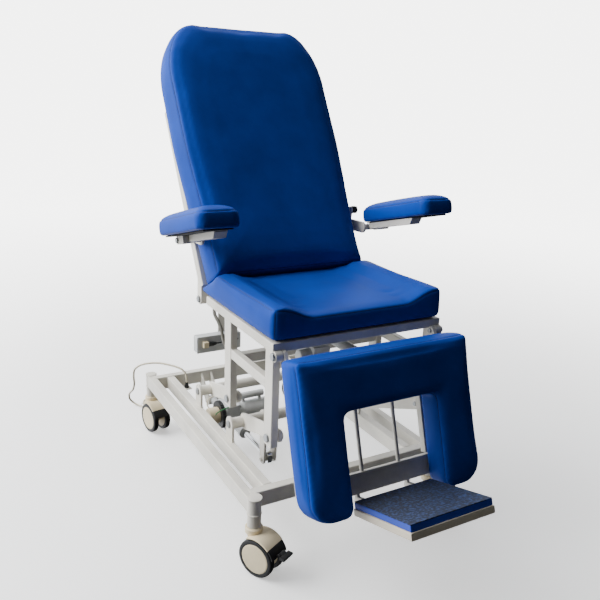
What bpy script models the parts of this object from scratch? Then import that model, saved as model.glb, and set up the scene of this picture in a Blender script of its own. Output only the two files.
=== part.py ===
"""Dialysis chair on a scissor-arm lift base.

Metres, +Z up, the chair faces -Y. The origin is on the floor, under the middle of the chair without its cord.
Every moving body hangs on an empty that stands on its joint's axis.
"""

import math

import bmesh
import bpy
from mathutils import Matrix, Vector

# Where the layout's zero lies along Y, so that the chair stands centred over the origin.
LAYOUT_SHIFT_Y = 0.0213

GAP = 0.0003
SLIP = 0.0005
STEEL_SHEET = 0.008
THIN_ROD = 0.0125
HEAD_RADIUS = 0.012
HEAD_THICK = 0.006

# Half widths follow the seat frame's, each by a named step in or out from its side.
SEAT_HALF_WIDTH = 0.280
POST_OUTSET = 0.0365
OUTER_RAIL_OUTSET = 0.041
INNER_RAIL_INSET = 0.0265
LUG_INSET = 0.035
LIFT_ARM_INSET = 0.085
CREST_INSET = 0.025
WAIST_INSET = 0.006
SHOULDER_OUTSET = 0.016
LEG_INSET = 0.002
LEG_EAR_INSETS = (0.0365, 0.0255)
LEG_TUBE_INSET = 0.0125
CUTOUT_INSET = 0.130
BRACKET_OUTSETS = (0.014, 0.022)
ARM_PAD_OUTSETS = (0.025, 0.145)
ARM_BEAM_OUTSETS = (0.069, 0.094)
ARM_BAR_OUTSETS = (0.036, 0.076)
CONTROL_WIDTH = 0.160
HANGER_INSETS = (0.090, 0.115)

# Base frame.
POST_X = SEAT_HALF_WIDTH + POST_OUTSET
POST_FRONT_Y = -0.285
POST_REAR_Y = 0.660
POST_RADIUS = 0.020
POST_BOTTOM_Z = 0.137
RAIL_TOP_Z = 0.226
RAIL_HEIGHT = 0.048
OUTER_RAIL_X = SEAT_HALF_WIDTH + OUTER_RAIL_OUTSET
OUTER_RAIL_WIDTH = 0.028
INNER_RAIL_X = SEAT_HALF_WIDTH - INNER_RAIL_INSET
INNER_RAIL_WIDTH = 0.029
BAR_WIDTH = 0.030
FRONT_BAR_Y = -0.252
REAR_BAR_Y = 0.625
WELD_STEP = 0.001

# Lift pivots on the base and the arms that stand on them.
LUG_X = SEAT_HALF_WIDTH - LUG_INSET
LUG_HALF_WIDTH = 0.025
PIVOT_Z = 0.281
FRONT_PIVOT_Y = 0.050
ARM_SPACING = 0.275
TORSION_RADIUS = 0.018
SHAFT_RADIUS = 0.007
ARM_REACH = 0.3275
ARM_RISE = 0.119
ARM_X = SEAT_HALF_WIDTH - LIFT_ARM_INSET
ARM_SPLAY = 0.048
ARM_THICK = 0.010
ARM_ROOT_RADIUS = 0.026
ARM_TIP_RADIUS = 0.019
PIN_RADIUS = 0.007
LEVER_LENGTH = 0.158
LEVER_SPAN = 0.040
LEVER_RADIUS = 0.016
LEVER_ROOT_RADIUS = 0.024
BOSS_RADIUS = 0.015
PIN_OVERHANG = 0.010

# Lift actuator.
LIFT_X = -0.105
LIFT_AXIS_Z = 0.128
LIFT_TUBE_MOUTH_Y = 0.235
LIFT_TUBE_RADIUS = 0.019
LIFT_ROD_RADIUS = 0.010
LIFT_ROD_LENGTH = 0.280
LIFT_CLEVIS_Y = 0.540
LIFT_CLEVIS_RADIUS = 0.018
LIFT_COLLAR_RADIUS = 0.022
LIFT_COLLAR_LENGTH = 0.014
LIFT_TAIL_RADIUS = 0.014
LIFT_STROKE_ROOM = 0.065
LIFT_SLOT = 0.0058
LIFT_EYE_RADIUS = 0.017
MOTOR_Y = 0.380
MOTOR_Z = 0.143
MOTOR_RADIUS = 0.035
MOTOR_END_X = 0.075
GEAR_CASE_X = (-0.135, -0.075)
GEAR_CASE_HALF = 0.044
GEAR_COVER_RADIUS = 0.0525
GEAR_COVER_WIDTH = 0.0147
CANISTER_RADIUS = 0.031
CANISTER_END_X = -0.190
CAPACITOR_RADIUS = 0.013
CAPACITOR_X = (-0.062, 0.036)
CAPACITOR_Z = 0.202
STRAP_WIDTH = 0.010

# Seat frame and its side frames.
SIDE_TUBE = 0.025
SEAT_TOP_Z = 0.683
SEAT_RAIL_HEIGHT = 0.028
SEAT_FRONT_Y = -0.300
SEAT_RAIL_END_Y = 0.165
UPRIGHT_DEPTH = 0.045
UPRIGHT_BOTTOM_Z = 0.377
BRACE_Z = (0.540, 0.570)
CROSS_TUBE_TOP_Z = 0.5442
CROSS_TUBE_SIZE = 0.030
REAR_SEAT_BAR_Y = 0.135
SEAT_BAR_DEPTH = 0.028
HINGE_HEAD_RADIUS = 0.011
CONTROL_X = (-SEAT_HALF_WIDTH, CONTROL_WIDTH - SEAT_HALF_WIDTH)
CONTROL_Y = (0.250, 0.284)
CONTROL_Z = (0.455, 0.513)
CONTROL_PLUG_Z = 0.488
HANGER_X = (HANGER_INSETS[0] - SEAT_HALF_WIDTH, HANGER_INSETS[1] - SEAT_HALF_WIDTH)
HANGER_TOP_Z = 0.603
HANGER_THICK = 0.0055
CABLE_RADIUS = 0.0055
LEAD_RADIUS = 0.0025

# Seat cushion, a saddle: high along both sides, dished between.
SEAT_BOARD_THICK = 0.006
SEAT_DISH_Z = 0.743
SEAT_CREST_Z = 0.777
SEAT_DISH_X = 0.150
SEAT_CREST_X = SEAT_HALF_WIDTH - CREST_INSET
SEAT_CUSHION_END_Y = 0.212
BOARD_MARGIN = 0.012

# Backrest. Its own frame: x across, y behind the front face, z up along the pad.
BACK_TILT = math.radians(31.0)
BACK_Y = 0.095
BACK_Z = 0.772
BACK_LENGTH = 0.875
BACK_WAIST = SEAT_HALF_WIDTH - WAIST_INSET
BACK_SHOULDER = SEAT_HALF_WIDTH + SHOULDER_OUTSET
BACK_CUSHION_THICK = 0.108
BACK_BOARD_THICK = 0.0115
BACK_TUBE_DEPTH = 0.035
BACK_TUBE_END = 0.620
BACK_HINGE_Y = 0.231
BACK_HINGE_Z = 0.655
BACK_LEVER_X = -0.050
BACK_LEVER_LENGTH = 0.100
BACK_LEVER_LEAN = math.radians(29.0)
BACK_ROD_Z = 0.5615
BACK_ROD_LENGTH = 0.2595
BACK_MOUTH_Y = 0.100
BACK_CASE_Y = -0.120
BACK_SLOT = 0.0078
BACK_BAR_HEIGHT = 0.030
BACK_BARS = (0.030, 0.300, BACK_TUBE_END - 0.031)

# Leg rest. Its own frame: x across, y behind the front face, z up along the pad.
LEG_TILT = math.radians(17.84)
LEG_Y = -0.421
LEG_Z = 0.673
LEG_HALF_WIDTH = SEAT_HALF_WIDTH - LEG_INSET
LEG_LENGTH = 0.410
LEG_CUSHION_THICK = 0.085
CUTOUT_HALF_WIDTH = SEAT_HALF_WIDTH - CUTOUT_INSET
CUTOUT_TOP = 0.150
LEG_HINGE_Y = -0.302
LEG_HINGE_Z = 0.648
LEG_EAR_X = (SEAT_HALF_WIDTH - LEG_EAR_INSETS[0], SEAT_HALF_WIDTH - LEG_EAR_INSETS[1])
LEG_EAR_RADIUS = 0.015
LEG_TUBE_DEPTH = 0.025
LEG_LEVER_X = 0.053
LEG_LEVER_LENGTH = 0.085
LEG_LEVER_LEAN = math.radians(32.5)
LEG_ROD_Z = 0.571
LEG_ROD_LENGTH = 0.196
LEG_MOUTH_Y = -0.195
LEG_CASE_Y = 0.045
LEG_SLOT = 0.0098
LEG_TUBE_X = SEAT_HALF_WIDTH - LEG_TUBE_INSET
LEG_TUBE_Z = (-0.362, -0.045)
LEG_BARS = (-0.078, -0.145)
LEG_BAR_HEIGHT = 0.030
ACTUATOR_RADIUS = 0.017
ROD_RADIUS = 0.008
EYE_WIDTH = 0.016
EYE_RADIUS = 0.016
SLOT_SLACK = 0.0022
LEVER_GAP = 0.003
LEVER_EYE_RADIUS = 0.014

# Foot rest, in the leg rest's frame.
CROSSBAR_TOP = -0.335
CROSSBAR_HEIGHT = 0.058
CROSSBAR_HALF_WIDTH = 0.200
CROSSBAR_DEPTH = 0.018
GUIDE_X = 0.062
GUIDE_RADIUS = 0.0055
GUIDE_LENGTH = 0.300
FOOT_HINGE_Z = -0.410
FOOT_HINGE_DEPTH = 0.062
FOOT_EAR_X = (0.080, 0.090)
FOOT_PIN_RADIUS = 0.0035
FOOT_KNUCKLE_X = 0.040
FOOT_HALF_WIDTH = 0.132
FOOT_LENGTH = 0.245
TRAY_THICK = 0.020
MAT_THICK = 0.019

# Armrests. Their own frame: x across, y backwards along the beam, z up from it.
ARM_TILT = math.radians(14.2)
ARM_PIVOT_Y = 0.162
ARM_PIVOT_Z = 0.870
ARM_PAD_X = (SEAT_HALF_WIDTH + ARM_PAD_OUTSETS[0], SEAT_HALF_WIDTH + ARM_PAD_OUTSETS[1])
ARM_PAD_FRONT = -0.328
ARM_PAD_REAR = 0.0155
ARM_PAD_EDGE = 0.047
ARM_PAD_CROWN = 0.014
ARM_BEAM_X = (SEAT_HALF_WIDTH + ARM_BEAM_OUTSETS[0], SEAT_HALF_WIDTH + ARM_BEAM_OUTSETS[1])
ARM_BAR_X = (SEAT_HALF_WIDTH + ARM_BAR_OUTSETS[0], SEAT_HALF_WIDTH + ARM_BAR_OUTSETS[1])
ARM_BAR_FRONT = -0.255
ARM_BAR_REAR = -0.018
ARM_BAR_DROP = 0.0075
ARM_BLOCK_FRONT = -0.050
ARM_PLATE_THICK = 0.0035
BRACKET_X = (SEAT_HALF_WIDTH + BRACKET_OUTSETS[0], SEAT_HALF_WIDTH + BRACKET_OUTSETS[1])
ARM_STUB_RADIUS = 0.0105
ARM_BOLT_RADIUS = 0.005
ARM_BOLT_HEAD = 0.009
KNOB_Y = 0.243
KNOB_Z = 0.918
KNOB_RADIUS = 0.014

# Casters: twin wheels that trail behind the swivel axis.
WHEEL_RADIUS = 0.0575
WHEEL_WIDTH = 0.020
WHEEL_TRACK = 0.050
CASTER_TRAIL = 0.030
CASTER_TOP_Z = 0.1365
STEM_RADIUS = 0.006
AXLE_RADIUS = 0.005
HOOD_GAP = 0.003
HOOD_THICK = 0.005
HOOD_HALF_WIDTH = 0.036
PEDAL_REACH = 0.068
PEDAL_RISE = 0.028
PEDAL_PIN_RADIUS = 0.003
PEDAL_NECK_RADIUS = 0.006
PEDAL_NECK_WIDTH = 0.019
PEDAL_WIDTH = 0.044
PEDAL_LENGTH = 0.018
PEDAL_THICK = 0.008
CASTER_HEADINGS = {"front_left": 27.0, "front_right": 40.0, "rear_left": 10.0, "rear_right": 25.0}

# Mains cord.
CORD_RADIUS = 0.004
GLAND_X = -0.200
GLAND_Y = 0.578
GLAND_TAB_Z = 0.182
GLAND_TAB_HALF = 0.016
GLAND_TAB_THICK = 0.004
GLAND_HEIGHT = 0.022
COIL_TURNS = 3
COIL_MIDDLE_RADIUS = 0.044
COIL_GAP = 0.0007
COIL_DIP = 0.35
COIL_X = -0.245
COIL_Y = 0.845
COIL_TURNED = math.radians(200.0)
LOOP_POINTS = 24

COLLECTION = "dialysis_chair"


# Small makers. Each returns a loose mesh object in layout coordinates.

def clear_scene():
    for obj in list(bpy.data.objects):
        bpy.data.objects.remove(obj, do_unlink=True)


def loose(bm):
    """Turns a bmesh into an object with outward normals."""
    bmesh.ops.recalc_face_normals(bm, faces=bm.faces)
    mesh = bpy.data.meshes.new("piece")
    bm.to_mesh(mesh)
    bm.free()
    obj = bpy.data.objects.new("piece", mesh)
    PARTS.objects.link(obj)
    return obj


def box(x, y, z):
    """A block between two values on each axis."""
    middle = Vector(((x[0] + x[1]) / 2, (y[0] + y[1]) / 2, (z[0] + z[1]) / 2))
    size = Matrix.Diagonal((x[1] - x[0], y[1] - y[0], z[1] - z[0], 1.0))
    bm = bmesh.new()
    bmesh.ops.create_cube(bm, size=1.0, matrix=Matrix.Translation(middle) @ size)
    return loose(bm)


def rod(start, end, radius, sides=16, tip=None):
    """A round bar from start to end, tapering to tip where that is given."""
    start, end = Vector(start), Vector(end)
    along = end - start
    turn = along.to_track_quat("Z", "Y").to_matrix().to_4x4()
    place = Matrix.Translation((start + end) / 2) @ turn
    bm = bmesh.new()
    bmesh.ops.create_cone(bm, cap_ends=True, segments=sides, radius1=radius,
                          radius2=radius if tip is None else tip, depth=along.length, matrix=place)
    return loose(bm)


def cross_rod(x, y, z, radius, sides=None):
    """A round bar along X between two values of x; a thin one has fewer sides."""
    return rod((x[0], y, z), (x[1], y, z), radius, sides or (12 if radius < THIN_ROD else 16))


def sheet(outline, x):
    """A flat plate: an outline of (y, z) points, drawn out along X."""
    bm = bmesh.new()
    face = bm.faces.new([bm.verts.new((x[0], y, z)) for y, z in outline])
    drawn = bmesh.ops.extrude_face_region(bm, geom=[face])
    moved = [item for item in drawn["geom"] if isinstance(item, bmesh.types.BMVert)]
    bmesh.ops.translate(bm, verts=moved, vec=(x[1] - x[0], 0.0, 0.0))
    return loose(bm)


def link_outline(first, first_radius, second, second_radius, steps=5):
    """The outline of a two-eyed link: two arcs and the straight lines that touch both."""
    first, second = Vector(first), Vector(second)
    along = second - first
    heading = math.atan2(along.y, along.x)
    spread = math.acos((first_radius - second_radius) / along.length)
    outline = []
    for centre, radius, low, high in (
        (first, first_radius, heading + spread, heading + math.tau - spread),
        (second, second_radius, heading - spread, heading + spread),
    ):
        for step in range(steps + 1):
            angle = low + (high - low) * step / steps
            outline.append((centre.x + radius * math.cos(angle), centre.y + radius * math.sin(angle)))
    return outline


def rounded_outline(corners, longest=0.06, steps=4):
    """A polygon of (x, z, radius) corners with each corner made round and long sides divided."""
    points = []
    count = len(corners)
    for index, (x, z, radius) in enumerate(corners):
        here = Vector((x, z))
        before = (Vector(corners[index - 1][:2]) - here).normalized()
        after = (Vector(corners[(index + 1) % count][:2]) - here).normalized()
        half = before.angle(after) / 2
        start = here + before * (radius / math.tan(half))
        end = here + after * (radius / math.tan(half))
        centre = here + (before + after).normalized() * (radius / math.sin(half))
        low = start - centre
        swing = low.angle_signed(end - centre)
        for step in range(steps + 1):
            points.append(centre + Matrix.Rotation(-swing * step / steps, 2) @ low)
    outline = []
    for index, point in enumerate(points):
        following = points[(index + 1) % len(points)]
        pieces = max(1, math.ceil((following - point).length / longest))
        for piece in range(pieces):
            outline.append(point.lerp(following, piece / pieces))
    return outline


def loft(rings):
    """A closed body through rings of equal count, with a flat face on the first and the last."""
    bm = bmesh.new()
    rows = [[bm.verts.new(point) for point in ring] for ring in rings]
    count = len(rows[0])
    for lower, upper in zip(rows, rows[1:]):
        for index in range(count):
            following = (index + 1) % count
            bm.faces.new((lower[index], lower[following], upper[following], upper[index]))
    bm.faces.new(rows[0])
    bm.faces.new(rows[-1])
    return loose(bm)


def turned(profile, origin, axis, steps=24):
    """A turned body: (along, radius) pairs about an axis through origin."""
    turn = Vector(axis).to_track_quat("Z", "Y").to_matrix().to_4x4()
    place = Matrix.Translation(Vector(origin)) @ turn
    rings = []
    for along, radius in profile:
        angles = [math.tau * step / steps for step in range(steps)]
        rings.append([place @ Vector((radius * math.cos(a), radius * math.sin(a), along)) for a in angles])
    return loft(rings)


def smooth_route(points, spacing):
    """Points at an even spacing on a smooth curve through the route's own points."""
    points = [Vector(point) for point in points]
    padded = [points[0] * 2 - points[1], *points, points[-1] * 2 - points[-2]]
    fine = []
    steps = 40
    for p0, p1, p2, p3 in zip(padded, padded[1:], padded[2:], padded[3:]):
        for step in range(steps):
            t = step / steps
            fine.append(0.5 * (2 * p1 + (p2 - p0) * t + (2 * p0 - 5 * p1 + 4 * p2 - p3) * t ** 2
                               + (3 * p1 - p0 - 3 * p2 + p3) * t ** 3))
    fine.append(points[-1])
    reach = [0.0]
    for before, after in zip(fine, fine[1:]):
        reach.append(reach[-1] + (after - before).length)
    count = max(2, round(reach[-1] / spacing))
    route = []
    index = 0
    for step in range(count):
        wanted = reach[-1] * step / count
        while reach[index + 1] < wanted:
            index += 1
        share = (wanted - reach[index]) / (reach[index + 1] - reach[index])
        route.append(fine[index].lerp(fine[index + 1], share))
    route.append(fine[-1])
    return route


def tube(points, radius, resolution):
    """A round cord along points, made a closed mesh."""
    data = bpy.data.curves.new("route", "CURVE")
    data.dimensions = "3D"
    data.bevel_depth = radius
    data.bevel_resolution = resolution
    data.use_fill_caps = True
    spline = data.splines.new("POLY")
    spline.points.add(len(points) - 1)
    for item, point in zip(spline.points, points):
        item.co = (*point, 1.0)
    guide = bpy.data.objects.new("route", data)
    PARTS.objects.link(guide)
    graph = bpy.context.evaluated_depsgraph_get()
    made = bpy.data.meshes.new_from_object(guide.evaluated_get(graph))
    bpy.data.objects.remove(guide, do_unlink=True)
    bm = bmesh.new()
    bm.from_mesh(made)
    bmesh.ops.remove_doubles(bm, verts=bm.verts, dist=radius / 100)
    return loose(bm)


def combine(first, others, operation):
    """Joins or cuts first with the others, which are used up."""
    for other in others:
        step = first.modifiers.new("step", "BOOLEAN")
        step.operation = operation
        step.solver = "EXACT"
        step.object = other
    graph = bpy.context.evaluated_depsgraph_get()
    first.data = bpy.data.meshes.new_from_object(first.evaluated_get(graph))
    first.modifiers.clear()
    for other in others:
        bpy.data.objects.remove(other, do_unlink=True)
    return first


def weld(*pieces):
    return combine(pieces[0], pieces[1:], "UNION")


def cut(body, *cutters):
    return combine(body, cutters, "DIFFERENCE")


def moved(obj, place):
    """The same object with its shape carried by a matrix."""
    obj.data.transform(place)
    return obj


def across(side, x):
    """A span of distances from the middle plane, on one side of it."""
    return tuple(sorted((side * x[0], side * x[1])))


def linear(colour):
    """Linear red, green and blue of a six-digit sRGB colour."""
    parts = [int(colour[at:at + 2], 16) / 255 for at in (0, 2, 4)]
    return [c / 12.92 if c <= 0.04045 else ((c + 0.055) / 1.055) ** 2.4 for c in parts]


def material(colour, roughness, metallic):
    made = bpy.data.materials.new("finish_" + colour)
    made.use_nodes = True
    shader = made.node_tree.nodes["Principled BSDF"]
    shader.inputs["Base Color"].default_value = (*linear(colour), 1.0)
    shader.inputs["Roughness"].default_value = roughness
    shader.inputs["Metallic"].default_value = metallic
    return made


def joint(name, parent, y, z, x=0.0):
    """An empty on a joint's axis."""
    empty = bpy.data.objects.new(name, None)
    empty.empty_display_size = 0.03
    PARTS.objects.link(empty)
    empty.parent = parent
    bpy.context.view_layer.update()
    if parent is None:
        empty.location = (x, y, z)
    else:
        shift = Matrix.Translation((0, LAYOUT_SHIFT_Y, 0))
        empty.matrix_parent_inverse = parent.matrix_world.inverted() @ shift
        empty.location = (x, y, z)
    bpy.context.view_layer.update()
    return empty


def node(name, obj, body, finish, smooth=False):
    """Names a finished piece and hangs it on its body."""
    obj.name = name
    obj.data.name = name
    obj.data.materials.clear()
    obj.data.materials.append(finish)
    obj.data.polygons.foreach_set("use_smooth", [smooth] * len(obj.data.polygons))
    obj.parent = body
    obj.matrix_parent_inverse = body.matrix_world.inverted() @ Matrix.Translation((0, LAYOUT_SHIFT_Y, 0))
    return obj


# Derived places.

def arm_tip(root_y):
    return root_y - ARM_REACH, PIVOT_Z + ARM_RISE


REAR_PIVOT_Y = FRONT_PIVOT_Y + ARM_SPACING
FRONT_PIN = arm_tip(FRONT_PIVOT_Y)
REAR_PIN = arm_tip(REAR_PIVOT_Y)
SEAT_RAIL_BOTTOM = SEAT_TOP_Z - SEAT_RAIL_HEIGHT
SIDE_X = (SEAT_HALF_WIDTH - SIDE_TUBE, SEAT_HALF_WIDTH)
BACK_FRAME = Matrix.Translation((0, BACK_Y, BACK_Z)) @ Matrix.Rotation(-BACK_TILT, 4, "X")
LEG_FRAME = Matrix.Translation((0, LEG_Y, LEG_Z)) @ Matrix.Rotation(-LEG_TILT, 4, "X")
ARM_FRAME = Matrix.Translation((0, ARM_PIVOT_Y, ARM_PIVOT_Z)) @ Matrix.Rotation(-ARM_TILT, 4, "X")
BACK_HINGE = BACK_FRAME.inverted() @ Vector((0, BACK_HINGE_Y, BACK_HINGE_Z))
LEG_HINGE = LEG_FRAME.inverted() @ Vector((0, LEG_HINGE_Y, LEG_HINGE_Z))
BACK_PIN = (BACK_HINGE_Y + BACK_LEVER_LENGTH * math.sin(BACK_LEVER_LEAN),
            BACK_HINGE_Z - BACK_LEVER_LENGTH * math.cos(BACK_LEVER_LEAN))
LEG_PIN = (LEG_HINGE_Y + LEG_LEVER_LENGTH * math.sin(LEG_LEVER_LEAN),
           LEG_HINGE_Z - LEG_LEVER_LENGTH * math.cos(LEG_LEVER_LEAN))
BACK_TUBE_Y = (BACK_CUSHION_THICK + BACK_BOARD_THICK + 2 * GAP,
               BACK_CUSHION_THICK + BACK_BOARD_THICK + 2 * GAP + BACK_TUBE_DEPTH)
LEG_TUBE_Y = (LEG_CUSHION_THICK + GAP, LEG_CUSHION_THICK + GAP + LEG_TUBE_DEPTH)


# The base.

def make_base():
    rail_z = (RAIL_TOP_Z - RAIL_HEIGHT, RAIL_TOP_Z)
    bar_z = (rail_z[0] - WELD_STEP, RAIL_TOP_Z + WELD_STEP)
    pieces = []
    for side in (-1, 1):
        outer = (OUTER_RAIL_X - OUTER_RAIL_WIDTH / 2, OUTER_RAIL_X + OUTER_RAIL_WIDTH / 2)
        inner = (INNER_RAIL_X - INNER_RAIL_WIDTH / 2, INNER_RAIL_X + INNER_RAIL_WIDTH / 2)
        pieces.append(box(across(side, outer), (POST_FRONT_Y, POST_REAR_Y), rail_z))
        pieces.append(box(across(side, inner), (FRONT_BAR_Y, REAR_BAR_Y), rail_z))
        for y in (POST_FRONT_Y, POST_REAR_Y):
            top = (side * POST_X, y, RAIL_TOP_Z + 2 * WELD_STEP)
            pieces.append(rod((side * POST_X, y, POST_BOTTOM_Z), top, POST_RADIUS))
        for y in (FRONT_PIVOT_Y, REAR_PIVOT_Y):
            foot = (y, rail_z[0] + RAIL_HEIGHT / 2)
            outline = link_outline(foot, LUG_HALF_WIDTH - WELD_STEP, (y, PIVOT_Z), LUG_HALF_WIDTH)
            plate = (LUG_X - STEEL_SHEET / 2, LUG_X + STEEL_SHEET / 2)
            pieces.append(sheet(outline, across(side, plate)))
        clevis_x = LIFT_X + side * LEVER_SPAN / 2
        outline = link_outline((REAR_BAR_Y, RAIL_TOP_Z - RAIL_HEIGHT / 2), 0.021,
                               (LIFT_CLEVIS_Y, LIFT_AXIS_Z), LIFT_CLEVIS_RADIUS)
        pieces.append(sheet(outline, (clevis_x - STEEL_SHEET / 2, clevis_x + STEEL_SHEET / 2)))
    bars = []
    for y in (FRONT_BAR_Y, REAR_BAR_Y):
        bars.append(box((-POST_X, POST_X), (y - BAR_WIDTH / 2, y + BAR_WIDTH / 2), bar_z))
    tab = box((GLAND_X - GLAND_TAB_HALF, GLAND_X + GLAND_TAB_HALF), (GLAND_Y - GLAND_TAB_HALF, REAR_BAR_Y),
              (GLAND_TAB_Z - GLAND_TAB_THICK, GLAND_TAB_Z))
    pin_span = (LIFT_X - LEVER_SPAN / 2 - PIN_OVERHANG, LIFT_X + LEVER_SPAN / 2 + PIN_OVERHANG)
    pin = cross_rod(pin_span, LIFT_CLEVIS_Y, LIFT_AXIS_Z, PIN_RADIUS)
    frame = weld(*bars, *pieces, tab, pin)
    holes = []
    for side in (-1, 1):
        for y in (FRONT_PIVOT_Y, REAR_PIVOT_Y):
            span = across(side, (LUG_X - 0.03, LUG_X + 0.03))
            holes.append(cross_rod(span, y, PIVOT_Z, SHAFT_RADIUS + GAP))
        for y in (POST_FRONT_Y, POST_REAR_Y):
            holes.append(rod((side * POST_X, y, POST_BOTTOM_Z - 0.02), (side * POST_X, y, POST_BOTTOM_Z + 0.06),
                             STEM_RADIUS + SLIP))
    node("base_frame", cut(frame, *holes), ROOT, IVORY)
    reach = LUG_X + STEEL_SHEET / 2 + GAP
    for name, y in (("front_pivot_shaft", FRONT_PIVOT_Y), ("rear_pivot_shaft", REAR_PIVOT_Y)):
        heads = [cross_rod(across(side, (reach, reach + HEAD_THICK)), y, PIVOT_Z, HEAD_RADIUS, 6)
                 for side in (-1, 1)]
        shaft = cross_rod((-reach - HEAD_THICK / 2, reach + HEAD_THICK / 2), y, PIVOT_Z, SHAFT_RADIUS)
        node(name, weld(shaft, *heads), ROOT, ZINC)


def lift_arms(root_y, lever):
    """A torsion tube with an arm plate near each end, splayed out to the side frame."""
    tip_y, tip_z = arm_tip(root_y)
    reach = LUG_X - STEEL_SHEET / 2 - SLIP
    pieces = [cross_rod((-reach, reach), root_y, PIVOT_Z, TORSION_RADIUS)]
    for side in (-1, 1):
        outline = link_outline((root_y, PIVOT_Z), ARM_ROOT_RADIUS, (tip_y, tip_z), ARM_TIP_RADIUS)
        plate = sheet(outline, across(side, (ARM_X - ARM_THICK / 2, ARM_X + ARM_THICK / 2)))
        along = Vector((tip_y - root_y, tip_z - PIVOT_Z))
        for vertex in plate.data.vertices:
            share = (Vector((vertex.co.y - root_y, vertex.co.z - PIVOT_Z)) @ along) / along.length_squared
            vertex.co.x += side * ARM_SPLAY * share
        pieces.append(plate)
        boss = (ARM_X + ARM_SPLAY - 0.008, SIDE_X[0] - SLIP)
        pieces.append(cross_rod(across(side, boss), tip_y, tip_z, BOSS_RADIUS))
    if lever:
        foot = (root_y, PIVOT_Z - LEVER_LENGTH)
        for side in (-1, 1):
            x = LIFT_X + side * LEVER_SPAN / 2
            outline = link_outline((root_y, PIVOT_Z), LEVER_ROOT_RADIUS, foot, LEVER_RADIUS)
            pieces.append(sheet(outline, (x - STEEL_SHEET / 2, x + STEEL_SHEET / 2)))
        pin_span = (LIFT_X - LEVER_SPAN / 2 - PIN_OVERHANG, LIFT_X + LEVER_SPAN / 2 + PIN_OVERHANG)
        pieces.append(cross_rod(pin_span, *foot, PIN_RADIUS))
    arms = weld(*pieces)
    bores = [cross_rod((-reach - 0.02, reach + 0.02), root_y, PIVOT_Z, SHAFT_RADIUS + SLIP)]
    for side in (-1, 1):
        span = across(side, (ARM_X, SIDE_X[0] + 0.02))
        bores.append(cross_rod(span, tip_y, tip_z, PIN_RADIUS + SLIP))
    return cut(arms, *bores)


def headed_pin(side, inner, face, place, radius, head_radius):
    """A pin along X from inner to a hexagonal head that lies on a face."""
    head = cross_rod(across(side, (face + GAP, face + HEAD_THICK)), *place, head_radius, 6)
    shank = cross_rod(across(side, (inner, face + HEAD_THICK / 2)), *place, radius)
    return weld(shank, head)


def lift_pin(side, place):
    return headed_pin(side, ARM_X + ARM_SPLAY - 0.012, SEAT_HALF_WIDTH, place, PIN_RADIUS, HEAD_RADIUS)


def rod_with_eye(x, eye, z, length, radius, forward, slot, eye_radius):
    """An actuator rod along Y whose flat eye has an upright slot for the lever's pin."""
    inner = eye - forward * length
    bar = rod((x, eye - forward * eye_radius / 2, z), (x, inner, z), radius)
    half = EYE_WIDTH / 2
    outline = link_outline((eye, z - slot), eye_radius, (eye, z + slot), eye_radius)
    head = sheet(outline, (x - half, x + half))
    bore = PIN_RADIUS + SLOT_SLACK
    hole = sheet(link_outline((eye, z - slot), bore, (eye, z + slot), bore), (x - half - 0.01, x + half + 0.01))
    return cut(weld(bar, head), hole)


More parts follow.
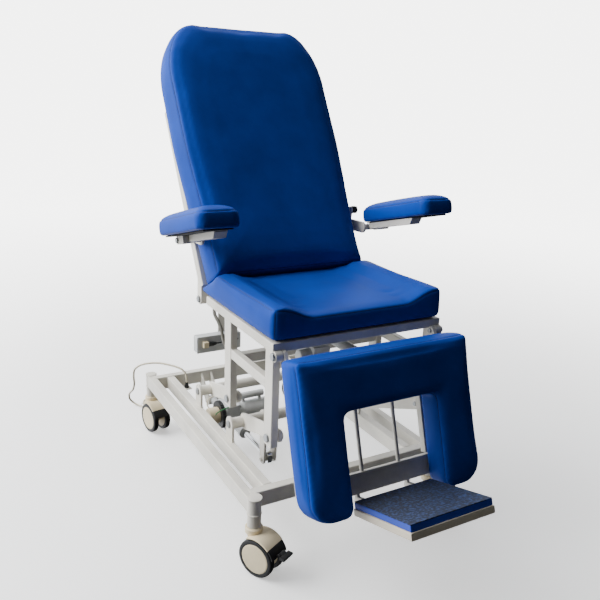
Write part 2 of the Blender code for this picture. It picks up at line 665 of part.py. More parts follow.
def make_lift():
    node("front_lift_arm", lift_arms(FRONT_PIVOT_Y, True), FRONT_ARM, IVORY)
    node("rear_lift_arm", lift_arms(REAR_PIVOT_Y, False), REAR_ARM, IVORY)
    axis = (LIFT_X, LIFT_AXIS_Z)
    case = box(GEAR_CASE_X, (MOTOR_Y - GEAR_CASE_HALF, MOTOR_Y + GEAR_CASE_HALF),
               (LIFT_AXIS_Z - 0.038, MOTOR_Z + 0.045))
    outer = rod((axis[0], LIFT_TUBE_MOUTH_Y, axis[1]), (axis[0], MOTOR_Y, axis[1]), LIFT_TUBE_RADIUS)
    collar_end = LIFT_TUBE_MOUTH_Y + LIFT_COLLAR_LENGTH
    collar = rod((axis[0], LIFT_TUBE_MOUTH_Y, axis[1]), (axis[0], collar_end, axis[1]), LIFT_COLLAR_RADIUS)
    tail = rod((axis[0], MOTOR_Y, axis[1]), (axis[0], LIFT_CLEVIS_Y, axis[1]), LIFT_TAIL_RADIUS)
    half = LEVER_SPAN / 2 - STEEL_SHEET / 2 - 2 * SLIP
    eye = cross_rod((LIFT_X - half, LIFT_X + half), LIFT_CLEVIS_Y, LIFT_AXIS_Z, LIFT_CLEVIS_RADIUS)
    body = weld(case, outer, collar, tail, eye)
    bore_end = FRONT_PIVOT_Y + LIFT_ROD_LENGTH + LIFT_STROKE_ROOM
    bore = rod((axis[0], LIFT_TUBE_MOUTH_Y - 0.02, axis[1]), (axis[0], bore_end, axis[1]),
               LIFT_ROD_RADIUS + SLIP)
    hole = cross_rod((LIFT_X - 0.04, LIFT_X + 0.04), LIFT_CLEVIS_Y, LIFT_AXIS_Z, PIN_RADIUS + GAP)
    node("lift_actuator_body", cut(body, bore, hole), ROOT, GREY)
    motor = cross_rod((GEAR_CASE_X[1] + GAP, MOTOR_END_X), MOTOR_Y, MOTOR_Z, MOTOR_RADIUS)
    can = cross_rod(CAPACITOR_X, MOTOR_Y, CAPACITOR_Z, CAPACITOR_RADIUS)
    straps = [box((x, x + STRAP_WIDTH), (MOTOR_Y - STRAP_WIDTH / 2, MOTOR_Y + STRAP_WIDTH / 2),
                  (MOTOR_Z + MOTOR_RADIUS / 2, CAPACITOR_Z))
              for x in (CAPACITOR_X[0] + STRAP_WIDTH, CAPACITOR_X[1] - 2 * STRAP_WIDTH)]
    node("lift_motor", weld(motor, can, *straps), ROOT, GREY)
    face = GEAR_CASE_X[0] - GAP
    ring = cross_rod((face - GEAR_COVER_WIDTH, face), MOTOR_Y, MOTOR_Z, GEAR_COVER_RADIUS, 24)
    canister = cross_rod((CANISTER_END_X, face - GEAR_COVER_WIDTH / 2), MOTOR_Y, MOTOR_Z, CANISTER_RADIUS)
    node("lift_gear_cover", weld(ring, canister), ROOT, BLACK)
    lift_rod = rod_with_eye(LIFT_X, FRONT_PIVOT_Y, LIFT_AXIS_Z, LIFT_ROD_LENGTH, LIFT_ROD_RADIUS, -1,
                            LIFT_SLOT, LIFT_EYE_RADIUS)
    node("lift_rod", lift_rod, LIFT_SLIDE, CHROME)


# The seat.

def saddle(x, y):
    """Height of the seat's top: a dish between two crests, sloping down under the backrest."""
    share = min(1.0, max(0.0, (abs(x) - SEAT_DISH_X) / (SEAT_CREST_X - SEAT_DISH_X)))
    share = share * share * (3.0 - 2.0 * share)
    top = SEAT_DISH_Z + (SEAT_CREST_Z - SEAT_DISH_Z) * share
    under_back = BACK_Z - 0.012 - math.tan(BACK_TILT) * (y - BACK_Y)
    return min(top, under_back)


def inset_rings(outline, profile, point):
    """Rings of a pad: the outline drawn towards its middle by each step's inset."""
    xs = [p[0] for p in outline]
    ys = [p[1] for p in outline]
    middle = Vector(((min(xs) + max(xs)) / 2, (min(ys) + max(ys)) / 2))
    half = Vector(((max(xs) - min(xs)) / 2, (max(ys) - min(ys)) / 2))
    rings = []
    for inset, level in profile:
        ring = []
        for p in outline:
            u = middle.x + (p[0] - middle.x) * (half.x - inset) / half.x
            v = middle.y + (p[1] - middle.y) * (half.y - inset) / half.y
            ring.append(point(u, v, level))
        rings.append(ring)
    return rings


def make_seat_cushion(bottom):
    outline = rounded_outline([
        (-SEAT_HALF_WIDTH, SEAT_FRONT_Y, 0.028), (SEAT_HALF_WIDTH, SEAT_FRONT_Y, 0.028),
        (SEAT_HALF_WIDTH, SEAT_CUSHION_END_Y, 0.030), (-SEAT_HALF_WIDTH, SEAT_CUSHION_END_Y, 0.030),
    ], longest=0.048, steps=3)
    profile = [(0.010, 0.0), (0.002, 0.10), (0.000, 0.35), (0.002, 0.70), (0.008, 0.90), (0.020, 0.985),
               (0.045, 1.0), (0.080, 1.0), (0.120, 1.0), (0.165, 1.0), (0.215, 1.0)]

    def point(x, y, level):
        return Vector((x, y, bottom + (saddle(x, y) - bottom) * level))

    return loft(inset_rings(outline, profile, point))


def actuator(x, z, mouth, end, side):
    """A fixed actuator along Y: tube with a bore, gear case, motor to one side, saddle on the cross tube."""
    toward = math.copysign(1.0, end - mouth)
    motor = across(side, (abs(x) + 0.008, abs(x) + 0.068))
    body = rod((x, mouth, z), (x, end + toward * 0.02, z), ACTUATOR_RADIUS)
    case = box((x - 0.028, x + 0.028), tuple(sorted((end, end + toward * 0.055))), (z - 0.026, z + 0.034))
    block = box((x - 0.014, x + 0.014), (-0.012, 0.012), (CROSS_TUBE_TOP_Z + GAP, z))
    drive = cross_rod(motor, end + toward * 0.028, z + 0.004, 0.022)
    whole = weld(body, case, block, drive)
    return cut(whole, rod((x, mouth - toward * 0.02, z), (x, end - toward * 0.010, z), ROD_RADIUS + SLIP))


def make_seat():
    rail_z = (SEAT_RAIL_BOTTOM, SEAT_TOP_Z)
    bar_z = (rail_z[0] + WELD_STEP, rail_z[1] - WELD_STEP)
    pieces = []
    for side in (-1, 1):
        tube_x = across(side, SIDE_X)
        slim_x = across(side, (SIDE_X[0] + WELD_STEP, SIDE_X[1] - WELD_STEP))
        pieces.append(box(tube_x, (SEAT_FRONT_Y, SEAT_RAIL_END_Y), rail_z))
        for pin in (FRONT_PIN, REAR_PIN):
            span = (pin[0] - UPRIGHT_DEPTH / 2, pin[0] + UPRIGHT_DEPTH / 2)
            pieces.append(box(slim_x, span, (UPRIGHT_BOTTOM_Z, SEAT_RAIL_BOTTOM + 0.01)))
        brace_x = (SIDE_X[0] + 2 * WELD_STEP, SIDE_X[1] - 2 * WELD_STEP)
        pieces.append(box(across(side, brace_x), (FRONT_PIN[0], REAR_PIN[0]), BRACE_Z))
        lug = link_outline((LEG_HINGE_Y, LEG_HINGE_Z), 0.015, (LEG_HINGE_Y + 0.03, LEG_HINGE_Z), 0.0145)
        pieces.append(sheet(lug, across(side, (SIDE_X[0] + 0.0015, SIDE_X[1] - 0.0015))))
        ear = link_outline((BACK_HINGE_Y, BACK_HINGE_Z), 0.017,
                           (SEAT_RAIL_END_Y - 0.02, SEAT_RAIL_BOTTOM + 0.013), 0.0125)
        pieces.append(sheet(ear, across(side, (SIDE_X[0] - 0.010, SIDE_X[0] - GAP))))
        tab = box(across(side, (SIDE_X[0] - 0.009, SIDE_X[0] + 0.004)),
                  (SEAT_RAIL_END_Y - 0.04, SEAT_RAIL_END_Y - 0.012), (rail_z[0] + 0.003, rail_z[1] - 0.004))
        pieces.append(tab)
        bolt = across(side, (SEAT_HALF_WIDTH - 0.005, SEAT_HALF_WIDTH + 0.004))
        pieces.append(cross_rod(bolt, SEAT_RAIL_END_Y - 0.012, SEAT_RAIL_BOTTOM + 0.016, 0.007, 6))
    inside = (-SIDE_X[0] - 0.01, SIDE_X[0] + 0.01)
    front = box(inside, (SEAT_FRONT_Y + WELD_STEP, SEAT_FRONT_Y + SEAT_BAR_DEPTH), bar_z)
    rear = box(inside, (REAR_SEAT_BAR_Y - SEAT_BAR_DEPTH / 2, REAR_SEAT_BAR_Y + SEAT_BAR_DEPTH / 2), bar_z)
    half = CROSS_TUBE_SIZE / 2
    cross = box(inside, (REAR_PIN[0] - half, REAR_PIN[0] + half),
                (CROSS_TUBE_TOP_Z - CROSS_TUBE_SIZE, CROSS_TUBE_TOP_Z))
    slim_x = (HANGER_X[0] + WELD_STEP, HANGER_X[1] - WELD_STEP)
    hanger_end = CONTROL_Y[1] + HANGER_THICK
    hanger = [box(HANGER_X, (REAR_SEAT_BAR_Y - 0.004, REAR_SEAT_BAR_Y - 0.004 + HANGER_THICK),
                  (HANGER_TOP_Z - HANGER_THICK / 2, bar_z[0] + 0.006)),
              box(HANGER_X, (REAR_SEAT_BAR_Y - 0.003, hanger_end), (HANGER_TOP_Z - HANGER_THICK, HANGER_TOP_Z)),
              box(slim_x, (CONTROL_Y[1], hanger_end - WELD_STEP / 2),
                  (CONTROL_Z[0] + 0.007, HANGER_TOP_Z - HANGER_THICK / 3))]
    frame = weld(front, rear, cross, *pieces, *hanger)
    holes = []
    for side in (-1, 1):
        outer = across(side, (SIDE_X[0] - 0.02, SEAT_HALF_WIDTH + 0.02))
        for place in (FRONT_PIN, REAR_PIN):
            holes.append(cross_rod(outer, *place, PIN_RADIUS + GAP))
        holes.append(cross_rod(outer, LEG_HINGE_Y, LEG_HINGE_Z, PIN_RADIUS + GAP))
        pocket = (LEG_EAR_X[0] - 2 * SLIP, LEG_EAR_X[1] + 2 * SLIP)
        holes.append(cross_rod(across(side, pocket), LEG_HINGE_Y, LEG_HINGE_Z, LEG_EAR_RADIUS + 2 * SLIP))
        holes.append(cross_rod(outer, BACK_HINGE_Y, BACK_HINGE_Z, PIN_RADIUS + GAP))
    node("seat_frame", cut(frame, *holes), SEAT, IVORY)
    for side, word in ((-1, "left"), (1, "right")):
        node("lift_pin_front_" + word, lift_pin(side, FRONT_PIN), SEAT, ZINC)
        node("lift_pin_rear_" + word, lift_pin(side, REAR_PIN), SEAT, ZINC)
        for name, y, z, low in (("leg_hinge_pin_", LEG_HINGE_Y, LEG_HINGE_Z, LEG_EAR_X[0] - 0.004),
                                ("back_hinge_pin_", BACK_HINGE_Y, BACK_HINGE_Z, SIDE_X[0] - 0.014)):
            pin = headed_pin(side, low, SEAT_HALF_WIDTH, (y, z), PIN_RADIUS, HINGE_HEAD_RADIUS)
            node(name + word, pin, SEAT, ZINC)
    board_z = (SEAT_TOP_Z + GAP, SEAT_TOP_Z + GAP + SEAT_BOARD_THICK)
    board = box((-SEAT_HALF_WIDTH + BOARD_MARGIN, SEAT_HALF_WIDTH - BOARD_MARGIN),
                (SEAT_FRONT_Y + BOARD_MARGIN, SEAT_CUSHION_END_Y - BOARD_MARGIN), board_z)
    node("seat_board", board, SEAT, DARK)
    node("seat_cushion", make_seat_cushion(board_z[1] + GAP), SEAT, BLUE, True)
    back_body = actuator(BACK_LEVER_X, BACK_ROD_Z, BACK_MOUTH_Y, BACK_CASE_Y, -1)
    node("back_actuator", back_body, SEAT, GREY)
    leg_body = actuator(LEG_LEVER_X, LEG_ROD_Z, LEG_MOUTH_Y, LEG_CASE_Y, 1)
    node("leg_actuator", leg_body, SEAT, GREY)
    back_rod = rod_with_eye(BACK_LEVER_X, BACK_PIN[0], BACK_ROD_Z, BACK_ROD_LENGTH, ROD_RADIUS, 1,
                            BACK_SLOT, EYE_RADIUS)
    node("back_rod", back_rod, BACK_SLIDE, CHROME)
    leg_rod = rod_with_eye(LEG_LEVER_X, LEG_PIN[0], LEG_ROD_Z, LEG_ROD_LENGTH, ROD_RADIUS, -1,
                           LEG_SLOT, EYE_RADIUS)
    node("leg_rod", leg_rod, LEG_SLIDE, CHROME)
    make_controls()


def make_controls():
    """The control box behind the seat, its plug with a lead, and the cable that climbs to the hinge."""
    shell = box(CONTROL_X, (CONTROL_Y[0], CONTROL_Y[1] - GAP), CONTROL_Z)
    socket_x = (CONTROL_X[0] + 0.018, CONTROL_X[0] + 0.036)
    socket_y = CONTROL_Y[0] - 0.018
    socket = box(socket_x, (socket_y, CONTROL_Y[0] + 0.005), (CONTROL_PLUG_Z - 0.010, CONTROL_PLUG_Z + 0.010))
    node("control_box", weld(shell, socket), SEAT, GREY)
    plug_y = (socket_y + CONTROL_Y[0]) / 2
    plug_end = (socket_x[1] + 0.030, plug_y, CONTROL_PLUG_Z)
    body = rod((socket_x[1] + GAP, plug_y, CONTROL_PLUG_Z), plug_end, 0.008)
    edge = -SEAT_HALF_WIDTH
    lead = tube(smooth_route([(plug_end[0] - 0.002, plug_y, CONTROL_PLUG_Z), (edge + 0.085, 0.240, 0.489),
                              (edge + 0.104, 0.230, 0.500), (edge + 0.112, 0.205, 0.512),
                              (edge + 0.112, 0.170, 0.522)], 0.008), LEAD_RADIUS, 2)
    node("control_plug", weld(body, lead), SEAT, DARK)
    entry_y = REAR_PIN[0] + CROSS_TUBE_SIZE / 2 + GAP
    entry_z = CROSS_TUBE_TOP_Z - 0.012
    route = smooth_route([
        (edge + 0.040, 0.196, 0.641), (edge + 0.038, 0.194, 0.622), (edge + 0.034, 0.176, 0.611),
        (edge + 0.032, 0.145, 0.600), (edge + 0.032, 0.120, 0.583), (edge + 0.032, 0.107, 0.560),
        (edge + 0.034, 0.092, 0.538), (edge + 0.042, 0.068, 0.529), (edge + 0.052, 0.050, entry_z),
        (edge + 0.056, entry_y + 0.022, entry_z), (edge + 0.056, entry_y + 0.011, entry_z),
        (edge + 0.056, entry_y, entry_z)], 0.011)
    node("seat_cable", tube(route, CABLE_RADIUS, 2), SEAT, DARK)


# The backrest and its armrests.

def back_outline():
    """The pad's outline: waisted at the foot, widest at the shoulder, round at the top."""
    top_radius = (0.125, 0.215)
    right = []
    steps = 8
    shoulder = BACK_LENGTH - top_radius[1]
    for step in range(steps):
        along = shoulder * step / steps
        share = min(1.0, along / (0.75 * shoulder))
        share = share * share * (3 - 2 * share)
        right.append((BACK_WAIST + (BACK_SHOULDER - BACK_WAIST) * share, along))
    corner = 6
    for step in range(corner + 1):
        angle = math.pi / 2 * step / corner
        right.append((BACK_SHOULDER - top_radius[0] * (1 - math.cos(angle)),
                      shoulder + top_radius[1] * math.sin(angle)))
    left = [(-x, z) for x, z in reversed(right)]
    over = [(x, BACK_LENGTH) for x in (0.10, 0.03, -0.03, -0.10)]
    foot = [(x * BACK_WAIST, 0.0) for x in (-0.75, -0.5, -0.25, 0.0, 0.25, 0.5, 0.75)]
    return [*right, *over, *left, *foot]


def make_back():
    outline = back_outline()
    thick = BACK_CUSHION_THICK
    profile = [(0.012, thick), (0.003, thick - 0.010), (0.0, thick * 0.62), (0.001, thick * 0.30),
               (0.006, thick * 0.12), (0.016, thick * 0.03), (0.035, -0.001), (0.070, -0.006),
               (0.120, -0.010), (0.180, -0.012), (0.235, -0.012)]
    rings = inset_rings(outline, profile, lambda x, z, y: Vector((x, y, z)))
    node("backrest_cushion", moved(loft(rings), BACK_FRAME), BACK, BLUE, True)
    board_y = (thick + GAP, thick + GAP + BACK_BOARD_THICK)
    rings = inset_rings(outline, [(0.016, board_y[0]), (0.016, board_y[1])], lambda x, z, y: Vector((x, y, z)))
    node("backrest_board", moved(loft(rings), BACK_FRAME), BACK, DARK)
    pieces = []
    middle = (BACK_TUBE_Y[0] + BACK_TUBE_Y[1]) / 2
    for side in (-1, 1):
        pieces.append(box(across(side, SIDE_X), BACK_TUBE_Y, (0.0, BACK_TUBE_END)))
        ear = link_outline((middle, 0.030), 0.0165, (BACK_HINGE.y, BACK_HINGE.z), 0.0175)
        pieces.append(sheet(ear, across(side, (SIDE_X[0] + 0.001, SIDE_X[1] - 0.001))))
        spread = EYE_WIDTH / 2 + LEVER_GAP
        x = across(side, (spread, spread + STEEL_SHEET))
        pin = BACK_FRAME.inverted() @ Vector((0, *BACK_PIN))
        lever = link_outline((middle, 0.045), LEVER_EYE_RADIUS, (pin.y, pin.z), LEVER_EYE_RADIUS)
        pieces.append(sheet(lever, (BACK_LEVER_X + x[0], BACK_LEVER_X + x[1])))
    bars = []
    thin_y = (BACK_TUBE_Y[0] + WELD_STEP, BACK_TUBE_Y[1] - WELD_STEP)
    for low in BACK_BARS:
        bars.append(box((-SIDE_X[0] - 0.01, SIDE_X[0] + 0.01), thin_y, (low, low + BACK_BAR_HEIGHT)))
    reach = EYE_WIDTH / 2 + LEVER_GAP + STEEL_SHEET + 0.004
    pieces.append(cross_rod((BACK_LEVER_X - reach, BACK_LEVER_X + reach), pin.y, pin.z, PIN_RADIUS))
    frame = weld(*bars, *pieces)
    holes = []
    for side in (-1, 1):
        span = across(side, (SIDE_X[0] - 0.02, SIDE_X[1] + 0.02))
        holes.append(cross_rod(span, BACK_HINGE.y, BACK_HINGE.z, PIN_RADIUS + SLIP))
    node("backrest_frame", moved(cut(frame, *holes), BACK_FRAME), BACK, IVORY)
    for side, word, arm in ((-1, "left", LEFT_ARM), (1, "right", RIGHT_ARM)):
        make_armrest(side, word, arm)


def make_armrest(side, word, arm):
    tube_middle = BACK_FRAME @ Vector((0, (BACK_TUBE_Y[0] + BACK_TUBE_Y[1]) / 2, 0.030))
    rise = ARM_PIVOT_Z - 0.006 - tube_middle.z
    tube_y = tube_middle.y + math.tan(BACK_TILT) * rise
    pivot = (ARM_PIVOT_Y, ARM_PIVOT_Z)
    plate = sheet(link_outline((tube_y, ARM_PIVOT_Z - 0.006), 0.020, pivot, 0.019), across(side, BRACKET_X))
    lobe = sheet(link_outline((KNOB_Y, KNOB_Z), 0.012, (KNOB_Y + 0.012, ARM_PIVOT_Z), 0.0155),
                 across(side, (BRACKET_X[0] + WELD_STEP, BRACKET_X[1] - WELD_STEP)))
    spacer_x = across(side, (SEAT_HALF_WIDTH + GAP, BRACKET_X[0] + 0.003))
    spacer = cross_rod(spacer_x, tube_y, ARM_PIVOT_Z - 0.006, BOSS_RADIUS)
    stub = cross_rod(across(side, (BRACKET_X[1] - 0.003, ARM_BEAM_X[0] - SLIP)), *pivot, ARM_STUB_RADIUS)
    bracket = weld(plate, lobe, spacer, stub)
    bore = cross_rod(across(side, (BRACKET_X[1] + 0.006, ARM_BEAM_X[1])), *pivot, ARM_BOLT_RADIUS + GAP)
    node("arm_bracket_" + word, cut(bracket, bore), BACK, IVORY)
    knob = [(0.0, 0.006), (0.005, 0.006), (0.006, KNOB_RADIUS), (0.019, KNOB_RADIUS),
            (0.022, KNOB_RADIUS - 0.003)]
    start = (side * (BRACKET_X[1] - WELD_STEP + GAP), KNOB_Y, KNOB_Z)
    node("arm_knob_" + word, turned(knob, start, (side, 0, 0), 16), BACK, BLACK, True)
    half = (ARM_BEAM_X[1] - ARM_BEAM_X[0]) / 2
    block = box(across(side, ARM_BEAM_X), (ARM_BLOCK_FRONT, ARM_PAD_REAR - 0.002), (-half, half))
    outline = [(ARM_BAR_REAR, -ARM_BAR_DROP), (ARM_BAR_REAR, half), (ARM_BAR_FRONT, half),
               (ARM_BAR_FRONT, half - 0.004), (ARM_BAR_FRONT + 0.014, -ARM_BAR_DROP)]
    bar = sheet(outline, across(side, ARM_BAR_X))
    top = (half - 0.001, half + ARM_PLATE_THICK)
    wide = box(across(side, (ARM_PAD_X[0] + 0.012, ARM_PAD_X[1] - 0.012)),
               (ARM_PAD_FRONT + 0.010, ARM_PAD_REAR - 0.006), top)
    through = across(side, (ARM_BEAM_X[0] - 0.01, ARM_BEAM_X[1] + 0.01))
    hole = cross_rod(through, 0.0, 0.0, ARM_BOLT_RADIUS + SLIP)
    node("arm_beam_" + word, moved(cut(weld(block, bar, wide), hole), ARM_FRAME), arm, IVORY)
    bolt = headed_pin(side, BRACKET_X[1] + 0.008, ARM_BEAM_X[1], pivot, ARM_BOLT_RADIUS, ARM_BOLT_HEAD)
    node("arm_bolt_" + word, bolt, BACK, ZINC)
    outline = rounded_outline([
        (side * ARM_PAD_X[0], ARM_PAD_FRONT, 0.022), (side * ARM_PAD_X[1], ARM_PAD_FRONT, 0.022),
        (side * ARM_PAD_X[1], ARM_PAD_REAR, 0.022), (side * ARM_PAD_X[0], ARM_PAD_REAR, 0.022),
    ], longest=0.045, steps=3)
    low = top[1] + GAP
    profile = [(0.006, low), (0.001, low + 0.006), (0.0, low + 0.022), (0.002, low + ARM_PAD_EDGE - 0.008),
               (0.008, low + ARM_PAD_EDGE), (0.020, low + ARM_PAD_EDGE + 0.6 * ARM_PAD_CROWN),
               (0.036, low + ARM_PAD_EDGE + ARM_PAD_CROWN), (0.052, low + ARM_PAD_EDGE + ARM_PAD_CROWN + 0.001)]
    pad = loft(inset_rings(outline, profile, lambda x, y, z: Vector((x, y, z))))
    node("arm_pad_" + word, moved(pad, ARM_FRAME), arm, BLUE, True)


# The leg rest and the foot rest.

def drawn_in(outline, inset):
    """The outline moved inwards along each point's own normal."""
    count = len(outline)
    ring = []
    for index, point in enumerate(outline):
        along = (outline[(index + 1) % count] - outline[index - 1]).normalized()
        ring.append(point + Vector((along.y, -along.x)) * inset)
    return ring


def make_leg():
    wide, low, gap = LEG_HALF_WIDTH, -LEG_LENGTH, CUTOUT_HALF_WIDTH
    outline = rounded_outline([
        (-wide, 0.0, 0.024), (wide, 0.0, 0.024), (wide, low, 0.062), (gap, low, 0.038),
        (gap, -CUTOUT_TOP, 0.018), (-gap, -CUTOUT_TOP, 0.018), (-gap, low, 0.038), (-wide, low, 0.062),
    ], longest=0.05, steps=4)
    thick = LEG_CUSHION_THICK
    profile = [(0.008, thick), (0.001, thick - 0.009), (0.0, thick * 0.55), (0.001, thick * 0.28),
               (0.004, thick * 0.12), (0.008, thick * 0.03), (0.013, -0.002), (0.019, -0.004)]
    rings = [[Vector((p.x, y, p.y)) for p in drawn_in(outline, inset)] for inset, y in profile]
    node("legrest_cushion", moved(loft(rings), LEG_FRAME), LEG, BLUE, True)
    ear_x, y = LEG_EAR_X, LEG_TUBE_Y
    thin_y = (y[0] + WELD_STEP, y[1] - WELD_STEP)
    middle = (y[0] + y[1]) / 2
    pieces = []
    pin = LEG_FRAME.inverted() @ Vector((0, *LEG_PIN))
    for side in (-1, 1):
        pieces.append(box(across(side, (ear_x[0] + WELD_STEP, LEG_TUBE_X)), y, LEG_TUBE_Z))
        ear = link_outline((LEG_HINGE.y, LEG_HINGE.z), LEG_EAR_RADIUS, (middle, -0.060), 0.0115)
        pieces.append(sheet(ear, across(side, ear_x)))
        pieces.append(box(across(side, (gap + 0.003, gap + 0.018)), thin_y, (-0.330, -0.120)))
        spread = EYE_WIDTH / 2 + LEVER_GAP
        x = across(side, (spread, spread + STEEL_SHEET))
        lever = link_outline((middle, -0.061), 0.0105, (pin.y, pin.z), LEVER_EYE_RADIUS)
        pieces.append(sheet(lever, (LEG_LEVER_X + x[0], LEG_LEVER_X + x[1])))
    slim = (y[0] + 2 * WELD_STEP, y[1] - 2 * WELD_STEP)
    bars = [box((-ear_x[0] - 0.01, ear_x[0] + 0.01), slim, (low, low + LEG_BAR_HEIGHT)) for low in LEG_BARS]
    reach = EYE_WIDTH / 2 + LEVER_GAP + STEEL_SHEET + 0.004
    pieces.append(cross_rod((LEG_LEVER_X - reach, LEG_LEVER_X + reach), pin.y, pin.z, PIN_RADIUS))
    frame = weld(*bars, *pieces)
    holes = []
    for side in (-1, 1):
        holes.append(cross_rod(across(side, (ear_x[0] - 0.02, ear_x[1] + 0.004)), LEG_HINGE.y, LEG_HINGE.z,
                               PIN_RADIUS + SLIP))
        holes.append(rod((side * GUIDE_X, middle, -0.20), (side * GUIDE_X, middle, -0.01), GUIDE_RADIUS + SLIP))
    node("legrest_frame", moved(cut(frame, *holes), LEG_FRAME), LEG, IVORY)
    make_foot(middle)


def make_foot(rod_y):
    bar_y = (LEG_TUBE_Y[0] + 0.004, LEG_TUBE_Y[0] + 0.004 + CROSSBAR_DEPTH)
    bar_z = (CROSSBAR_TOP - CROSSBAR_HEIGHT, CROSSBAR_TOP)
    pieces = [box((-CROSSBAR_HALF_WIDTH, CROSSBAR_HALF_WIDTH), bar_y, bar_z)]
    for side in (-1, 1):
        start = CROSSBAR_TOP - 0.012
        end = (side * GUIDE_X, rod_y, start + GUIDE_LENGTH)
        pieces.append(rod((side * GUIDE_X, rod_y, start), end, GUIDE_RADIUS))
        arm = link_outline((FOOT_HINGE_DEPTH, FOOT_HINGE_Z), 0.0105, (bar_y[1] - 0.008, FOOT_HINGE_Z), 0.0100)
        pieces.append(sheet(arm, across(side, FOOT_EAR_X)))
        slim = (FOOT_EAR_X[0] + WELD_STEP, FOOT_EAR_X[1] - WELD_STEP)
        pieces.append(box(across(side, slim), (bar_y[0] + 0.003, bar_y[1] + WELD_STEP),
                          (FOOT_HINGE_Z, bar_z[0] + 0.02)))
    slider = weld(*pieces)
    through = (-FOOT_HALF_WIDTH, FOOT_HALF_WIDTH)
    hole = cross_rod(through, FOOT_HINGE_DEPTH, FOOT_HINGE_Z, FOOT_PIN_RADIUS + GAP)
    node("footrest_slider", moved(cut(slider, hole), LEG_FRAME), FOOT_SLIDE, IVORY)
    rear = FOOT_HINGE_DEPTH - 0.014
    top = FOOT_HINGE_Z
    tray_z = (top - TRAY_THICK, top)
    tray = [box((-FOOT_HALF_WIDTH, FOOT_HALF_WIDTH), (rear - FOOT_LENGTH, rear), tray_z)]
    for side in (-1, 1):
        knuckle = link_outline((FOOT_HINGE_DEPTH, FOOT_HINGE_Z), 0.0095, (rear - 0.014, top - 0.011), 0.008)
        tray.append(sheet(knuckle, across(side, (FOOT_KNUCKLE_X, FOOT_EAR_X[0] - SLIP))))
    hole = cross_rod(through, FOOT_HINGE_DEPTH, FOOT_HINGE_Z, FOOT_PIN_RADIUS + SLIP)
    node("footplate_tray", moved(cut(weld(*tray), hole), LEG_FRAME), FOOT_PLATE, TAN)
    mat = box((-FOOT_HALF_WIDTH, FOOT_HALF_WIDTH), (rear - FOOT_LENGTH, rear - WELD_STEP),
              (top + GAP, top + GAP + MAT_THICK))
    room_x = FOOT_EAR_X[1] + PIN_OVERHANG
    room = box((-room_x, room_x), (rear - 0.030, rear + 0.02), (top - 0.01, top + 0.0075))
    node("foot_mat", moved(cut(mat, room), LEG_FRAME), FOOT_PLATE, NAVY)
    hinge = (FOOT_HINGE_DEPTH, FOOT_HINGE_Z)
    heads = [cross_rod(across(side, (FOOT_EAR_X[1] + GAP, FOOT_EAR_X[1] + 0.005)), *hinge, 2 * FOOT_PIN_RADIUS)
             for side in (-1, 1)]
    span = (-FOOT_EAR_X[1] - 0.002, FOOT_EAR_X[1] + 0.002)
    pin = weld(cross_rod(span, *hinge, FOOT_PIN_RADIUS), *heads)
    node("footplate_hinge_pin", moved(pin, LEG_FRAME), FOOT_SLIDE, ZINC)


# Casters. Built about the swivel axis with the wheels trailing along +Y, then turned and placed.

def arc_outline(centre, inner, outer, low, high, steps=8):
    angles = [math.radians(low + (high - low) * step / steps) for step in range(steps + 1)]
    rim = [(centre[0] + outer * math.cos(a), centre[1] + outer * math.sin(a)) for a in angles]
    bore = [(centre[0] + inner * math.cos(a), centre[1] + inner * math.sin(a)) for a in reversed(angles)]
    return rim + bore


